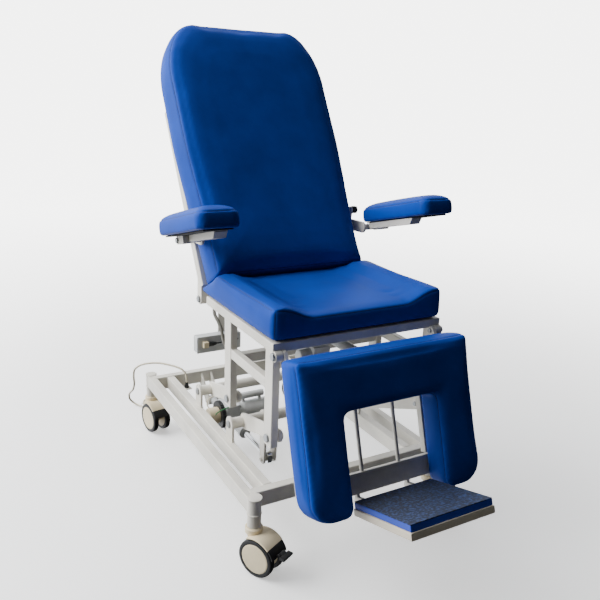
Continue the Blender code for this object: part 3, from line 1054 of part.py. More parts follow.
def make_caster(word, x, y, swivel, axle, pedal):
    turn = Matrix.Rotation(math.radians(180.0 + CASTER_HEADINGS[word]), 4, "Z")
    place = Matrix.Translation((x, y, 0.0)) @ turn
    hub = (CASTER_TRAIL, WHEEL_RADIUS)
    inner = WHEEL_TRACK / 2 - WHEEL_WIDTH / 2 - 0.0015
    collar = rod((0, 0, 2 * WHEEL_RADIUS + 0.003), (0, 0, CASTER_TOP_Z), 0.026)
    stem = rod((0, 0, 0.120), (0, 0, CASTER_TOP_Z + 0.045), STEM_RADIUS, 16)
    web = sheet(link_outline((0.004, 0.112), 0.020, hub, 0.020), (-inner, inner))
    hood_radius = WHEEL_RADIUS + HOOD_GAP
    hood = sheet(arc_outline(hub, hood_radius, hood_radius + HOOD_THICK, 18.0, 118.0),
                 (-HOOD_HALF_WIDTH, HOOD_HALF_WIDTH))
    rib = sheet(arc_outline(hub, 0.012, hood_radius + 0.003, 24.0, 112.0), (-inner + 0.001, inner - 0.001))
    root = (hub[0] + PEDAL_REACH, hub[1] + PEDAL_RISE)
    seat = []
    if pedal is not None:
        share = (hood_radius + HOOD_THICK / 2) / math.hypot(PEDAL_REACH, PEDAL_RISE)
        foot = (hub[0] + PEDAL_REACH * share, hub[1] + PEDAL_RISE * share)
        cheek = PEDAL_NECK_WIDTH / 2 + 2 * SLIP
        outline = link_outline(foot, HOOD_THICK / 2 - GAP, root, PEDAL_NECK_RADIUS - SLIP)
        seat = [sheet(outline, across(side, (cheek, cheek + 0.004))) for side in (-1, 1)]
        seat.append(cross_rod((-cheek - 0.003, cheek + 0.003), *root, PEDAL_PIN_RADIUS))
    housing = weld(collar, stem, web, rib, hood, *seat)
    bore = cross_rod((-0.06, 0.06), *hub, AXLE_RADIUS + SLIP)
    housing = cut(housing, bore)
    far = WHEEL_TRACK / 2 + WHEEL_WIDTH / 2
    near = WHEEL_TRACK / 2 - WHEEL_WIDTH / 2
    tread = WHEEL_RADIUS
    half_profile = [(near, AXLE_RADIUS), (near, tread - 0.004), (near + 0.005, tread), (far - 0.005, tread),
                    (far, tread - 0.004), (far, tread - 0.014), (far - 0.003, tread - 0.016),
                    (far - 0.001, 0.014)]
    profile = [(-a, r) for a, r in reversed(half_profile)] + half_profile
    wheels = turned(profile, (0, *hub), (1, 0, 0), 18)
    node("caster_housing_" + word, moved(housing, place), swivel, BEIGE)
    node("caster_wheels_" + word, moved(wheels, place), axle, BLACK)
    if pedal is not None:
        start = root[0] + PEDAL_NECK_RADIUS
        tread_plate = box((-PEDAL_WIDTH / 2, PEDAL_WIDTH / 2), (start, start + PEDAL_LENGTH),
                          (root[1] - PEDAL_THICK / 2, root[1] + PEDAL_THICK / 2))
        outline = link_outline(root, PEDAL_NECK_RADIUS, (start + PEDAL_LENGTH / 3, root[1]), PEDAL_THICK / 3)
        neck = sheet(outline, (-PEDAL_NECK_WIDTH / 2, PEDAL_NECK_WIDTH / 2))
        bore = cross_rod((-PEDAL_WIDTH, PEDAL_WIDTH), *root, PEDAL_PIN_RADIUS + SLIP)
        pedal_piece = cut(weld(tread_plate, neck), bore)
        node("brake_pedal_" + word, moved(pedal_piece, place), pedal, DARK)


def make_casters():
    for word, side, y in (("front_left", -1, POST_FRONT_Y), ("front_right", 1, POST_FRONT_Y),
                          ("rear_left", -1, POST_REAR_Y), ("rear_right", 1, POST_REAR_Y)):
        x = side * POST_X
        turn = math.radians(180.0 + CASTER_HEADINGS[word])
        ahead = Vector((-math.sin(turn), math.cos(turn)))
        swivel = joint("swivel_" + word, ROOT, y, CASTER_TOP_Z, x)
        hub = Vector((x, y)) + ahead * CASTER_TRAIL
        axle = joint("axle_" + word, swivel, hub.y, WHEEL_RADIUS, hub.x)
        pedal = None
        if word.startswith("front"):
            hinge = hub + ahead * PEDAL_REACH
            pedal = joint("pedal_" + word, swivel, hinge.y, WHEEL_RADIUS + PEDAL_RISE, hinge.x)
        make_caster(word, x, y, swivel, axle, pedal)


# The mains cord.

def coil_points():
    """Two layers: in along the floor, up one layer in the half turn where the spiral reverses, out again."""
    pitch = 2 * CORD_RADIUS + COIL_GAP
    outer = COIL_MIDDLE_RADIUS + pitch * COIL_TURNS / 2
    inner = outer - pitch * COIL_TURNS
    low = CORD_RADIUS + GAP
    last = 2 * COIL_TURNS + 0.5
    points = []
    for step in range(round(last * LOOP_POINTS) + 1):
        turn = step / LOOP_POINTS
        if turn <= COIL_TURNS:
            radius, height = outer - pitch * turn, low
        elif turn <= COIL_TURNS + 0.5:
            share = (turn - COIL_TURNS) / 0.5
            radius = inner - COIL_DIP * pitch * math.sin(math.pi * share)
            height = low + pitch * (3 - 2 * share) * share ** 2
        else:
            radius, height = inner + pitch * (turn - COIL_TURNS - 0.5), low + pitch
        angle = math.tau * turn + COIL_TURNED
        points.append(Vector((COIL_X + radius * math.cos(angle), COIL_Y + radius * math.sin(angle), height)))
    first = (points[0] - points[1]).normalized()
    final = (points[-1] - points[-2]).normalized()
    tail = 2 * CORD_RADIUS
    least = min((a - b).length for i, a in enumerate(points) for b in points[i + LOOP_POINTS // 4:])
    print(f"coil: least gap between turns {1000 * (least - 2 * CORD_RADIUS):.2f} mm")
    return [points[0] + first * tail, *points, points[-1] + final * tail], first, final


def make_cord():
    gland_z = GLAND_TAB_Z + GAP
    gland = turned([(0.0, 0.009), (0.006, 0.009), (0.007, 0.0075), (GLAND_HEIGHT, 0.0055)],
                   (GLAND_X, GLAND_Y, gland_z), (0, 0, 1), 16)
    node("cord_gland", gland, ROOT, DARK)
    coil, first, final = coil_points()
    start = Vector((GLAND_X, GLAND_Y, gland_z + GLAND_HEIGHT + GAP))
    end = coil[0] + first * GAP
    route = smooth_route([
        start, start + Vector((0, 0, 0.016)), (-0.212, 0.590, 0.241), (-0.242, 0.620, 0.258),
        (-0.290, 0.668, 0.264), (-0.338, 0.700, 0.253), (-0.364, 0.722, 0.226), (-0.362, 0.745, 0.190),
        (-0.346, 0.770, 0.150), (-0.334, 0.795, 0.100), (-0.326, 0.812, 0.050), (-0.322, 0.822, 0.016),
        end + first * 0.050 + Vector((0, 0, 0.002)), end + first * 0.020, end], 0.018)
    node("mains_cord", tube(route, CORD_RADIUS, 2), ROOT, CREAM, True)
    node("cord_coil", tube(coil, CORD_RADIUS, 1), ROOT, CREAM, True)
    plug_start = coil[-1] + final * GAP
    plug = turned([(0.0, 0.0055), (0.012, 0.0065), (0.016, 0.012), (0.040, 0.012), (0.043, 0.010)],
                  plug_start, final, 16)
    side = Vector((-final.y, final.x, 0)) * 0.0065
    pins = [rod(plug_start + final * 0.038 + side * s, plug_start + final * 0.062 + side * s, 0.0022, 10)
            for s in (-1, 1)]
    node("mains_plug", weld(plug, *pins), ROOT, DARK)


clear_scene()
PARTS = bpy.data.collections.new(COLLECTION)
bpy.context.scene.collection.children.link(PARTS)

BLUE = material("1846a8", 0.45, 0.0)
IVORY = material("d8d2c4", 0.40, 0.1)
ZINC = material("8f9296", 0.35, 0.9)
CHROME = material("c9ccd0", 0.12, 1.0)
GREY = material("b9bbbc", 0.45, 0.2)
BLACK = material("1d1d1f", 0.55, 0.0)
DARK = material("3a3a3d", 0.60, 0.0)
BEIGE = material("d7c6a0", 0.50, 0.0)
TAN = material("cfc4b0", 0.50, 0.1)
NAVY = material("1b2c5c", 0.80, 0.0)
CREAM = material("d9d0ba", 0.50, 0.0)

ROOT = joint("chair", None, LAYOUT_SHIFT_Y, 0.0)
FRONT_ARM = joint("lift_axis", ROOT, FRONT_PIVOT_Y, PIVOT_Z)
REAR_ARM = joint("rear_arm_axis", ROOT, REAR_PIVOT_Y, PIVOT_Z)
LIFT_SLIDE = joint("lift_rod_axis", ROOT, FRONT_PIVOT_Y, LIFT_AXIS_Z, LIFT_X)
SEAT = joint("seat_level_axis", FRONT_ARM, *FRONT_PIN)
BACK = joint("backrest_axis", SEAT, BACK_HINGE_Y, BACK_HINGE_Z)
BACK_SLIDE = joint("back_rod_axis", SEAT, BACK_PIN[0], BACK_ROD_Z, BACK_LEVER_X)
LEG = joint("legrest_axis", SEAT, LEG_HINGE_Y, LEG_HINGE_Z)
LEG_SLIDE = joint("leg_rod_axis", SEAT, LEG_PIN[0], LEG_ROD_Z, LEG_LEVER_X)
LEFT_ARM = joint("left_arm_axis", BACK, ARM_PIVOT_Y, ARM_PIVOT_Z, -ARM_BEAM_X[0])
RIGHT_ARM = joint("right_arm_axis", BACK, ARM_PIVOT_Y, ARM_PIVOT_Z, ARM_BEAM_X[0])
FOOT_SLIDE = joint("footrest_axis", LEG, *(LEG_FRAME @ Vector((0, LEG_TUBE_Y[0], CROSSBAR_TOP))).yz)
FOOT_PLATE = joint("footplate_axis", FOOT_SLIDE, *(LEG_FRAME @ Vector((0, FOOT_HINGE_DEPTH, FOOT_HINGE_Z))).yz)

make_base()
make_lift()
make_seat()
make_back()
make_leg()
make_casters()
make_cord()
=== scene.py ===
"""Dresses a packed dialysis chair: upholstery, painted tube frame, lift drive, casters, mains cord, studio.

Every shape is worked out in the layout's frame (metres, +Z up, the chair faces -Y, zero under the lift) and
is moved back by SHIFT_Y as it becomes a mesh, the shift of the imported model. A solid is a pair of arrays:
points (n, 3) and four-cornered faces (k, 4).
"""

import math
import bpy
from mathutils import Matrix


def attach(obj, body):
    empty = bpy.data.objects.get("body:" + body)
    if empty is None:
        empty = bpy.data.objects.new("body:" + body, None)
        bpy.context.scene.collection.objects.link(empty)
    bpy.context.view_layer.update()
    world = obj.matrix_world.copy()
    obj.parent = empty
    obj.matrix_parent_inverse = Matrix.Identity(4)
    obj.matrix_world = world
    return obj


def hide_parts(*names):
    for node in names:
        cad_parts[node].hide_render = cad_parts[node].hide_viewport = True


bl_info = {
    "name": "Dialysis chair dresser",
    "version": (1, 0, 0),
    "blender": (4, 5, 0),
    "location": "View3D > Sidebar > Chair",
    "description": "Builds the upholstery, frame, drives, casters, cord and studio around the packed chair",
    "category": "Object",
}

from functools import partial

import bmesh
import bpy
import numpy as np
from bpy.props import FloatProperty, IntProperty, PointerProperty, StringProperty
from mathutils import Matrix, Vector
from mathutils.bvhtree import BVHTree

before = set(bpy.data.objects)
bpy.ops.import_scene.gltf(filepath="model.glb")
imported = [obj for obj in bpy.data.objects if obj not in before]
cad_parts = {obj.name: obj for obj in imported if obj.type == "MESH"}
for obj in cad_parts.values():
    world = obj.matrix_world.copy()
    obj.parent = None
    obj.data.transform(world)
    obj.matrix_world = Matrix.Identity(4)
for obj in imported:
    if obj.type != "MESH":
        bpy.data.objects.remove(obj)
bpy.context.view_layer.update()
SHIFT_Y = 0.0213
SIDES = ((-1, "left"), (1, "right"))

# Tilted frames: x across, y behind the face, z up along it.
BACK_TILT, BACK_AT = math.radians(31.0), (0.095, 0.772)
LEG_TILT, LEG_AT = math.radians(17.84), (-0.421, 0.673)
ARM_TILT, ARM_AT = math.radians(14.2), (0.162, 0.870)

# Pivots, as (y, z).
FRONT_PIVOT, REAR_PIVOT = (0.050, 0.281), (0.325, 0.281)
ARM_REACH, ARM_RISE = 0.3275, 0.119
FRONT_PIN, REAR_PIN = (-0.2775, 0.400), (-0.0025, 0.400)
BACK_HINGE, LEG_HINGE = (0.231, 0.655), (-0.302, 0.648)
BACK_PIN, LEG_PIN = (0.27948, 0.56754), (-0.25633, 0.57631)

# Base: rails as distances from the middle, bars and posts along Y, heights of the tubes.
OUTER_RAIL, INNER_RAIL, LUG = (0.307, 0.335), (0.239, 0.268), (0.241, 0.249)
POST_X, POST_Y, BAR_Y, RAIL_Z, RAIL_MIDDLE = 0.3165, (-0.285, 0.660), (-0.252, 0.625), (0.178, 0.226), 0.202
LIFT_X, LIFT_Z, MOTOR_Y, MOTOR_Z, CLEVIS_Y = -0.105, 0.128, 0.380, 0.143, 0.540
LEVER_APART, LEVER_HALF, PIN_RADIUS = 0.020, 0.004, 0.007

# Seat, back and leg rest.
SEAT_HALF, TUBE = 0.280, 0.025
SIDE_IN = SEAT_HALF - TUBE
BACK_DRIVE, LEG_DRIVE, ROD_RADIUS, ROD_EYE, ROD_LEVER = (-0.050, 0.5615), (0.053, 0.571), 0.008, 0.016, 0.015
CROSS_HALF, CROSS_TALL, BACK_BARS = 0.265, 0.030, (0.030, 0.300, 0.589)
BACK_LENGTH, BACK_WAIST, BACK_SHOULDER, BACK_THICK = 0.875, 0.274, 0.296, 0.108
LEG_HALF, LEG_LENGTH, LEG_THICK, CUTOUT_HALF, CUTOUT_TOP = 0.278, 0.410, 0.085, 0.150, 0.150
ARM_PAD_IN, ARM_PAD_OUT, ARM_PAD_FRONT, ARM_PAD_REAR = 0.305, 0.425, -0.328, 0.0155
FOOT_HALF, FOOT_FRONT, FOOT_REAR, FOOT_TOP = 0.132, -0.197, 0.048, -0.410

# Casters: name, place and heading in degrees.
WHEEL_RADIUS, TRAIL = 0.0575, 0.030
CASTERS = (("front_left", -POST_X, POST_Y[0], 27.0), ("front_right", POST_X, POST_Y[0], 40.0),
           ("rear_left", -POST_X, POST_Y[1], 10.0), ("rear_right", POST_X, POST_Y[1], 25.0))
PEDAL_AT = (0.068, 0.028)

# The cord, its gland and its coil; the gap between touching pieces; the angle from which an edge is sharp.
GAP = 0.0003
CORD_RADIUS = 0.004
GLAND = (-0.200, 0.578, 0.1823)
GLAND_HEIGHT = 0.022
COIL_AT, COIL_TURNED, COIL_TURNS, COIL_MIDDLE = (-0.245, 0.845), math.radians(200.0), 3, 0.044
COIL_PITCH, COIL_DIP, LOOP_POINTS = 0.0087, 0.35, 24
SHARP_FROM = math.radians(38.0)


class ChairSizes(bpy.types.PropertyGroup):
    """Sizes of the dressing, in metres."""

    voxel: FloatProperty(name="Voxel", description="Remesh size of the cushions", default=0.006,
                         min=0.003, unit="LENGTH")
    swell: FloatProperty(name="Swell", description="Most that a large cushion swells", default=0.007,
                         unit="LENGTH")
    arm_swell: FloatProperty(name="Arm pad swell", description="Most that an arm pad swells", default=0.005,
                             unit="LENGTH")
    pressure: FloatProperty(name="Pressure", description="Air pressure that fills a cushion", default=4.0)
    frames: IntProperty(name="Frames", description="Frames that a cushion fills for", default=15, min=2)
    ease: IntProperty(name="Ease", description="Rounds that take out small creases", default=10, min=0)
    seam: FloatProperty(name="Seam thread", description="Radius of a seam's thread line", default=0.0008,
                        unit="LENGTH")
    groove: FloatProperty(name="Seam groove", description="Depth of the groove along a seam", default=0.0016,
                          unit="LENGTH")
    corner: FloatProperty(name="Tube corner", description="Corner radius of the square tubes", default=0.003,
                          unit="LENGTH")
    edge: FloatProperty(name="Plate edge", description="Broken edge of cut plates", default=0.0008,
                        unit="LENGTH")
    bead: FloatProperty(name="Weld bead", description="Radius of a weld bead", default=0.0022, unit="LENGTH")


class ChairColours(bpy.types.PropertyGroup):
    """Colours of the finishes, as six-digit sRGB values."""

    vinyl: StringProperty(name="Vinyl", description="Upholstery", default="123f9e")
    paint: StringProperty(name="Paint", description="Powder coat of the frame", default="dedacf")
    tray: StringProperty(name="Tray", description="Powder coat of the footplate", default="cfc5b2")
    beige: StringProperty(name="Beige", description="Caster housings and discs", default="e8d8b4")
    cord: StringProperty(name="Cord", description="Mains cord", default="d9d0ba")
    grey: StringProperty(name="Grey", description="Drive and control housings", default="bdbfbf")
    mat_top: StringProperty(name="Mat top", description="Grained face of the mat", default="1a2a4c")
    mat_edge: StringProperty(name="Mat edge", description="Cut edge of the mat", default="1a3fb0")
    black: StringProperty(name="Black", description="Black plastic and rubber", default="17181a")
    floor: StringProperty(name="Floor", description="Studio floor", default="f7f7f6")


# Solids.

def quads_of(rows, count):
    """Faces between neighbouring rows of count points, each row a closed ring."""
    row = np.arange(rows - 1)[:, None] * count
    here = np.arange(count)[None, :]
    after = (here + 1) % count
    return np.stack([row + here, row + after, row + count + after, row + count + here], -1).reshape(-1, 4)


def cap_of(count, first):
    """A flat cap on an even ring: strips that join point k with point count - 1 - k."""
    k = np.arange(count // 2 - 1)
    return first + np.stack([k, k + 1, count - 2 - k, count - 1 - k], -1)


def outward(points, faces):
    """The same solid with its faces turned out: the sum of the faces' tetrahedra has to be positive."""
    a, b, c, d = (points[faces[:, i]] for i in range(4))
    volume = np.einsum("ij,ij->i", a, np.cross(b, c)) + np.einsum("ij,ij->i", a, np.cross(c, d))
    return points, faces if volume.sum() > 0 else faces[:, ::-1]


def skin(rings, loop=False):
    """A solid through rings (n, m, 3): sides between the rings, and caps or, on a loop, a way round."""
    rings = np.asarray(rings, float)
    rows, count = rings.shape[:2]
    if loop:
        rings = np.concatenate([rings, rings[:1]])
        faces = quads_of(rows + 1, count) % (rows * count)
        return outward(rings[:rows].reshape(-1, 3), faces)
    faces = [quads_of(rows, count), cap_of(count, 0)[:, ::-1], cap_of(count, (rows - 1) * count)]
    return outward(rings.reshape(-1, 3), np.concatenate(faces))


def joined(solids):
    """Several solids as one pair of arrays."""
    starts = np.cumsum([0] + [len(points) for points, _ in solids[:-1]])
    return (np.concatenate([points for points, _ in solids]),
            np.concatenate([faces + start for (_, faces), start in zip(solids, starts)]))


def section(half_u, half_v, corner, steps=5):
    """A rounded rectangle: four quarter circles of radius corner at its corners."""
    quarter = np.linspace(0, math.pi / 2, steps)
    angle = np.concatenate([quarter + math.pi / 2 * k for k in range(4)])
    sign_u = np.repeat([1, -1, -1, 1], steps)
    sign_v = np.repeat([1, 1, -1, -1], steps)
    return np.stack([sign_u * (half_u - corner) + corner * np.cos(angle),
                     sign_v * (half_v - corner) + corner * np.sin(angle)], -1)


def bar(x, y, z, corner=0.003, along=None):
    """A rounded bar between two values on each axis: its section runs along the longest, with broken ends."""
    low, high = np.array([x, y, z], float).T
    low, high = np.minimum(low, high), np.maximum(low, high)
    size = high - low
    axis = int(np.argmax(size)) if along is None else along
    u, v = [k for k in range(3) if k != axis]
    end = min(corner * 0.4, size[axis] / 4)
    corner = min(corner, 0.49 * size[u], 0.49 * size[v])
    steps = [(0.0, end), (end * 0.3, end * 0.3), (end, 0.0)]
    steps += [(size[axis] - reach, inset) for reach, inset in reversed(steps)]
    rings = np.empty((len(steps), 20, 3))
    for ring, (reach, inset) in zip(rings, steps):
        flat = section(size[u] / 2 - inset, size[v] / 2 - inset, corner)
        ring[:, axis] = low[axis] + reach
        ring[:, u] = (low[u] + high[u]) / 2 + flat[:, 0]
        ring[:, v] = (low[v] + high[v]) / 2 + flat[:, 1]
    return skin(rings)


def link(first, first_radius, second, second_radius, steps=14):
    """The outline of a two-eyed link, as (y, z): two arcs and the straight lines that touch both."""
    first, second = np.array(first, float), np.array(second, float)
    along = second - first
    heading = math.atan2(along[1], along[0])
    spread = math.acos((first_radius - second_radius) / np.hypot(*along))
    one = np.linspace(heading + spread, heading + math.tau - spread, steps)
    two = np.linspace(heading - spread, heading + spread, steps)
    return np.concatenate([first + first_radius * np.stack([np.cos(one), np.sin(one)], -1),
                           second + second_radius * np.stack([np.cos(two), np.sin(two)], -1)])


def drawn_in(outline, inset):
    """An outline moved inwards by inset along each point's own normal."""
    along = np.roll(outline, -1, 0) - np.roll(outline, 1, 0)
    along /= np.linalg.norm(along, axis=1, keepdims=True) + 1e-12
    turned_in = np.stack([-along[:, 1], along[:, 0]], -1)
    around = outline[:, 0] @ np.roll(outline[:, 1], -1) - outline[:, 1] @ np.roll(outline[:, 0], -1)
    return outline + inset * turned_in * math.copysign(1.0, around)


def plate(outline, x, edge=0.0008):
    """A plate: an outline of (y, z) drawn out along X between two values, with broken edges."""
    low, high = min(x), max(x)
    small = drawn_in(outline, edge)
    rows = [(low, small), (low + edge, outline), (high - edge, outline), (high, small)]
    return skin([np.column_stack([np.full(len(flat), at), flat]) for at, flat in rows])


def ring_plate(outline, hole, x):
    """A plate with one hole: the outline on both faces and the hole on both faces, as one closed loop."""
    rows = [(x[0], outline), (x[1], outline), (x[1], hole), (x[0], hole)]
    return skin([np.column_stack([np.full(len(flat), at), flat]) for at, flat in rows], loop=True)


def basis(axis):
    """Two unit vectors square to an axis and to each other."""
    axis = np.array(axis, float) / np.linalg.norm(axis)
    help_axis = np.array([0.0, 0.0, 1.0]) if abs(axis[2]) < 0.9 else np.array([0.0, 1.0, 0.0])
    u = np.cross(help_axis, axis)
    u /= np.linalg.norm(u)
    return axis, u, np.cross(axis, u)


def turned(profile, origin, axis, steps=40, wave=None):
    """A turned solid: (reach, radius) pairs about an axis; wave, if given, multiplies the radius by angle."""
    axis, u, v = basis(axis)
    reach, radius = np.array(profile, float).T
    angle = np.arange(steps) * math.tau / steps
    swell = np.ones(steps) if wave is None else wave(angle)
    spoke = u * np.cos(angle)[:, None] + v * np.sin(angle)[:, None]
    rings = np.array(origin) + axis * reach[:, None, None] + spoke * (radius[:, None] * swell)[..., None]
    return skin(rings)


def rod(start, end, radius, edge=0.0006, steps=40):
    """A round bar from start to end with broken edges."""
    start, end = np.array(start, float), np.array(end, float)
    length = np.linalg.norm(end - start)
    profile = [(0, radius - edge), (edge, radius), (length - edge, radius), (length, radius - edge)]
    return turned(profile, start, end - start, steps)


def smooth_route(points, spacing):
    """Points at an even spacing on the Catmull-Rom curve through the route's own points."""
    points = np.array(points, float)
    padded = np.concatenate([[2 * points[0] - points[1]], points, [2 * points[-1] - points[-2]]])
    p0, p1, p2, p3 = (padded[k:len(padded) - 3 + k, None] for k in range(4))
    t = (np.arange(40) / 40)[None, :, None]
    fine = 0.5 * (2 * p1 + (p2 - p0) * t + (2 * p0 - 5 * p1 + 4 * p2 - p3) * t ** 2
                  + (3 * p1 - p0 - 3 * p2 + p3) * t ** 3)
    fine = np.concatenate([fine.reshape(-1, 3), points[-1:]])
    reach = np.concatenate([[0], np.cumsum(np.linalg.norm(np.diff(fine, axis=0), axis=1))])
    wanted = np.linspace(0, reach[-1], max(3, round(reach[-1] / spacing) + 1))
    return np.stack([np.interp(wanted, reach, fine[:, k]) for k in range(3)], -1)


def swept(path, radius, sides=12, closed=False):
    """A round tube along a path: circles in frames that turn as little as they can from point to point."""
    path = np.asarray(path, float)
    if closed:
        along = np.roll(path, -1, 0) - np.roll(path, 1, 0)
    else:
        along = np.gradient(path, axis=0)
    along /= np.linalg.norm(along, axis=1, keepdims=True)
    u = np.empty_like(path)
    u[0] = basis(along[0])[1]
    for k in range(1, len(path)):
        u[k] = u[k - 1] - along[k] * (u[k - 1] @ along[k])
        u[k] /= np.linalg.norm(u[k])
    if closed:
        v_end = np.cross(along[0], u[0])
        last = u[-1] - along[0] * (u[-1] @ along[0])
        twist = math.atan2(last @ v_end, last @ u[0])
        undo = -twist * np.arange(len(path)) / len(path)
        v = np.cross(along, u)
        u = u * np.cos(undo)[:, None] + v * np.sin(undo)[:, None]
    v = np.cross(along, u)
    angle = np.arange(sides) * math.tau / sides
    radius = np.broadcast_to(radius, len(path))[:, None, None]
    circle = u[:, None] * np.cos(angle)[:, None] + v[:, None] * np.sin(angle)[:, None]
    return skin(path[:, None] + radius * circle, loop=closed)


def tilted(solid, tilt, at):
    """A solid carried from a tilted frame to the layout: turned by -tilt about X, then moved."""
    points, faces = solid
    x, y, z = points.T
    cos, sin = math.cos(tilt), math.sin(tilt)
    return np.stack([x, at[0] + y * cos + z * sin, at[1] - y * sin + z * cos], -1), faces


in_back = partial(tilted, tilt=BACK_TILT, at=BACK_AT)
in_leg = partial(tilted, tilt=LEG_TILT, at=LEG_AT)
in_arm = partial(tilted, tilt=ARM_TILT, at=ARM_AT)


def local(tilt, at, y, z):
    """A layout point's (y, z) in a tilted frame."""
    y, z = y - at[0], z - at[1]
    return y * math.cos(tilt) - z * math.sin(tilt), y * math.sin(tilt) + z * math.cos(tilt)


def mirrored(side, low, high):
    """A span of distances from the middle plane, on one side of it."""
    return tuple(sorted((side * low, side * high)))


def weld_ring(centre, axis, half_u, half_v, bead):
    """A rippled weld bead round a tube's foot: a rounded rectangle square to an axis, swept closed."""
    axis, u, v = basis(axis)
    flat = section(half_u, half_v, 0.003, 4)
    sizes = np.linalg.norm(np.roll(flat, -1, 0) - flat, axis=1)
    reach = np.concatenate([[0], np.cumsum(sizes)])
    loop = np.concatenate([flat, flat[:1]])
    wanted = np.arange(0, reach[-1], 0.002)
    ring = np.stack([np.interp(wanted, reach, loop[:, k]) for k in range(2)], -1)
    path = np.array(centre) + ring[:, :1] * u + ring[:, 1:] * v
    return swept(path, bead * (1 + 0.16 * np.cos(np.arange(len(path)) * math.pi * 0.9)), 8, closed=True)


def hexagon_head(origin, axis, radius, thick):
    """A hexagonal head: six sides, its upper corners turned off."""
    profile = [(0, radius), (thick * 0.75, radius), (thick, radius * 0.84)]
    return turned(profile, origin, axis, 6)


def headed_pin(side, inner, face, place, radius, head_radius, head=0.006):
    """A pin along X with a washer and a hexagonal head on a face."""
    out = (side, 0, 0)
    return [rod((side * inner, *place), (side * (face + head * 0.6), *place), radius),
            turned([(0, head_radius * 1.05), (0.0009, head_radius * 1.05), (0.0011, head_radius)],
                   (side * (face + 0.0002), *place), out),
            hexagon_head((side * (face + 0.0012), *place), out, head_radius, head - 0.0014)]


# Pieces.

def piece(name, solids, finish, body, replaces=(), weighted=True):
    """Makes the solids one object at the origin, shaded smooth, riding on a body, with its finish's slot."""
    points, faces = joined(list(solids))
    points = points + (0.0, SHIFT_Y, 0.0)
    mesh = bpy.data.meshes.new(name)
    mesh.from_pydata(points.tolist(), [], faces.tolist())
    mesh.shade_smooth()
    mesh.set_sharp_from_angle(angle=SHARP_FROM)
    mesh.materials.append(finishes(bpy.context)[finish])
    made = bpy.data.objects.new(name, mesh)
    bpy.context.scene.collection.objects.link(made)
    if weighted:
        made.modifiers.new("even_faces", "WEIGHTED_NORMAL").keep_sharp = True
    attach(made, body)
    if replaces:
        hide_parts(*replaces)
    return made


# Materials.

def linear(colour):
    """Linear red, green, blue and alpha of a six-digit sRGB colour."""
    parts = np.array([int(colour[k:k + 2], 16) / 255 for k in (0, 2, 4)])
    return (*np.where(parts <= 0.04045, parts / 12.92, ((parts + 0.055) / 1.055) ** 2.4), 1.0)


def wire(tree, node, sockets):
    """Sets a node's sockets: a value is a number, a colour or another node's output, which is linked."""
    for name, value in sockets.items():
        if isinstance(value, bpy.types.NodeSocket):
            tree.links.new(value, node.inputs[name])
        else:
            node.inputs[name].default_value = value


def add(tree, kind, sockets=None, stops=(), **settings):
    """Adds a node with its settings and links; stops are the places and colours of a ramp's two ends."""
    made = tree.nodes.new(kind)
    for name, value in settings.items():
        setattr(made, name, value)
    for k, (at, colour) in enumerate(stops):
        made.color_ramp.elements[k].position, made.color_ramp.elements[k].color = at, colour
    wire(tree, made, sockets or {})
    return made


def blank(name):
    """A new material with its shader and the piece's Object coordinates."""
    made = bpy.data.materials.new(name)
    made.use_nodes = True
    tree = made.node_tree
    return made, tree, tree.nodes["Principled BSDF"], add(tree, "ShaderNodeTexCoord").outputs["Object"]


def shade(colour, factor):
    """A six-digit colour, linear, times a factor."""
    return (*(c * factor for c in linear(colour)[:3]), 1.0)


def across(size_mm):
    """The scale of a pattern whose features are so many millimetres across."""
    return 1000.0 / size_mm


def pvc_vinyl(colour):
    """PVC film on cloth, calendered with a leather grain: satin, with soft broad lights and uneven in tone.

    The real grain of about 0.5 mm is too fine to show, so it is drawn 1.9 mm across. The slack of the skin
    is 42 mm and the clouds in its tone and gloss are 111 mm across.
    """
    made, tree, shader, place = blank("pvc_upholstery_vinyl")
    grain = add(tree, "ShaderNodeTexVoronoi", {"Vector": place, "Scale": across(1.923)}, feature="SMOOTH_F1")
    slack = add(tree, "ShaderNodeTexNoise", {"Vector": place, "Scale": across(41.667), "Detail": 2.0})
    clouds = add(tree, "ShaderNodeTexNoise", {"Vector": place, "Scale": across(111.11), "Detail": 3.0})
    tone = add(tree, "ShaderNodeValToRGB", {"Fac": clouds.outputs["Fac"]},
               stops=((0.30, shade(colour, 0.86)), (0.72, shade(colour, 1.10))))
    gloss = add(tree, "ShaderNodeMapRange", {"Value": clouds.outputs["Fac"], "To Min": 0.42, "To Max": 0.54})
    pits = add(tree, "ShaderNodeBump", {"Height": grain.outputs["Distance"], "Strength": 0.10,
                                        "Distance": 0.0006})
    soft = add(tree, "ShaderNodeBump", {"Height": slack.outputs["Fac"], "Strength": 0.10, "Distance": 0.004,
                                        "Normal": pits.outputs["Normal"]})
    wire(tree, shader, {"Base Color": tone.outputs["Color"], "Roughness": gloss.outputs["Result"],
                        "Normal": soft.outputs["Normal"], "IOR": 1.45, "Specular IOR Level": 0.07})
    return made


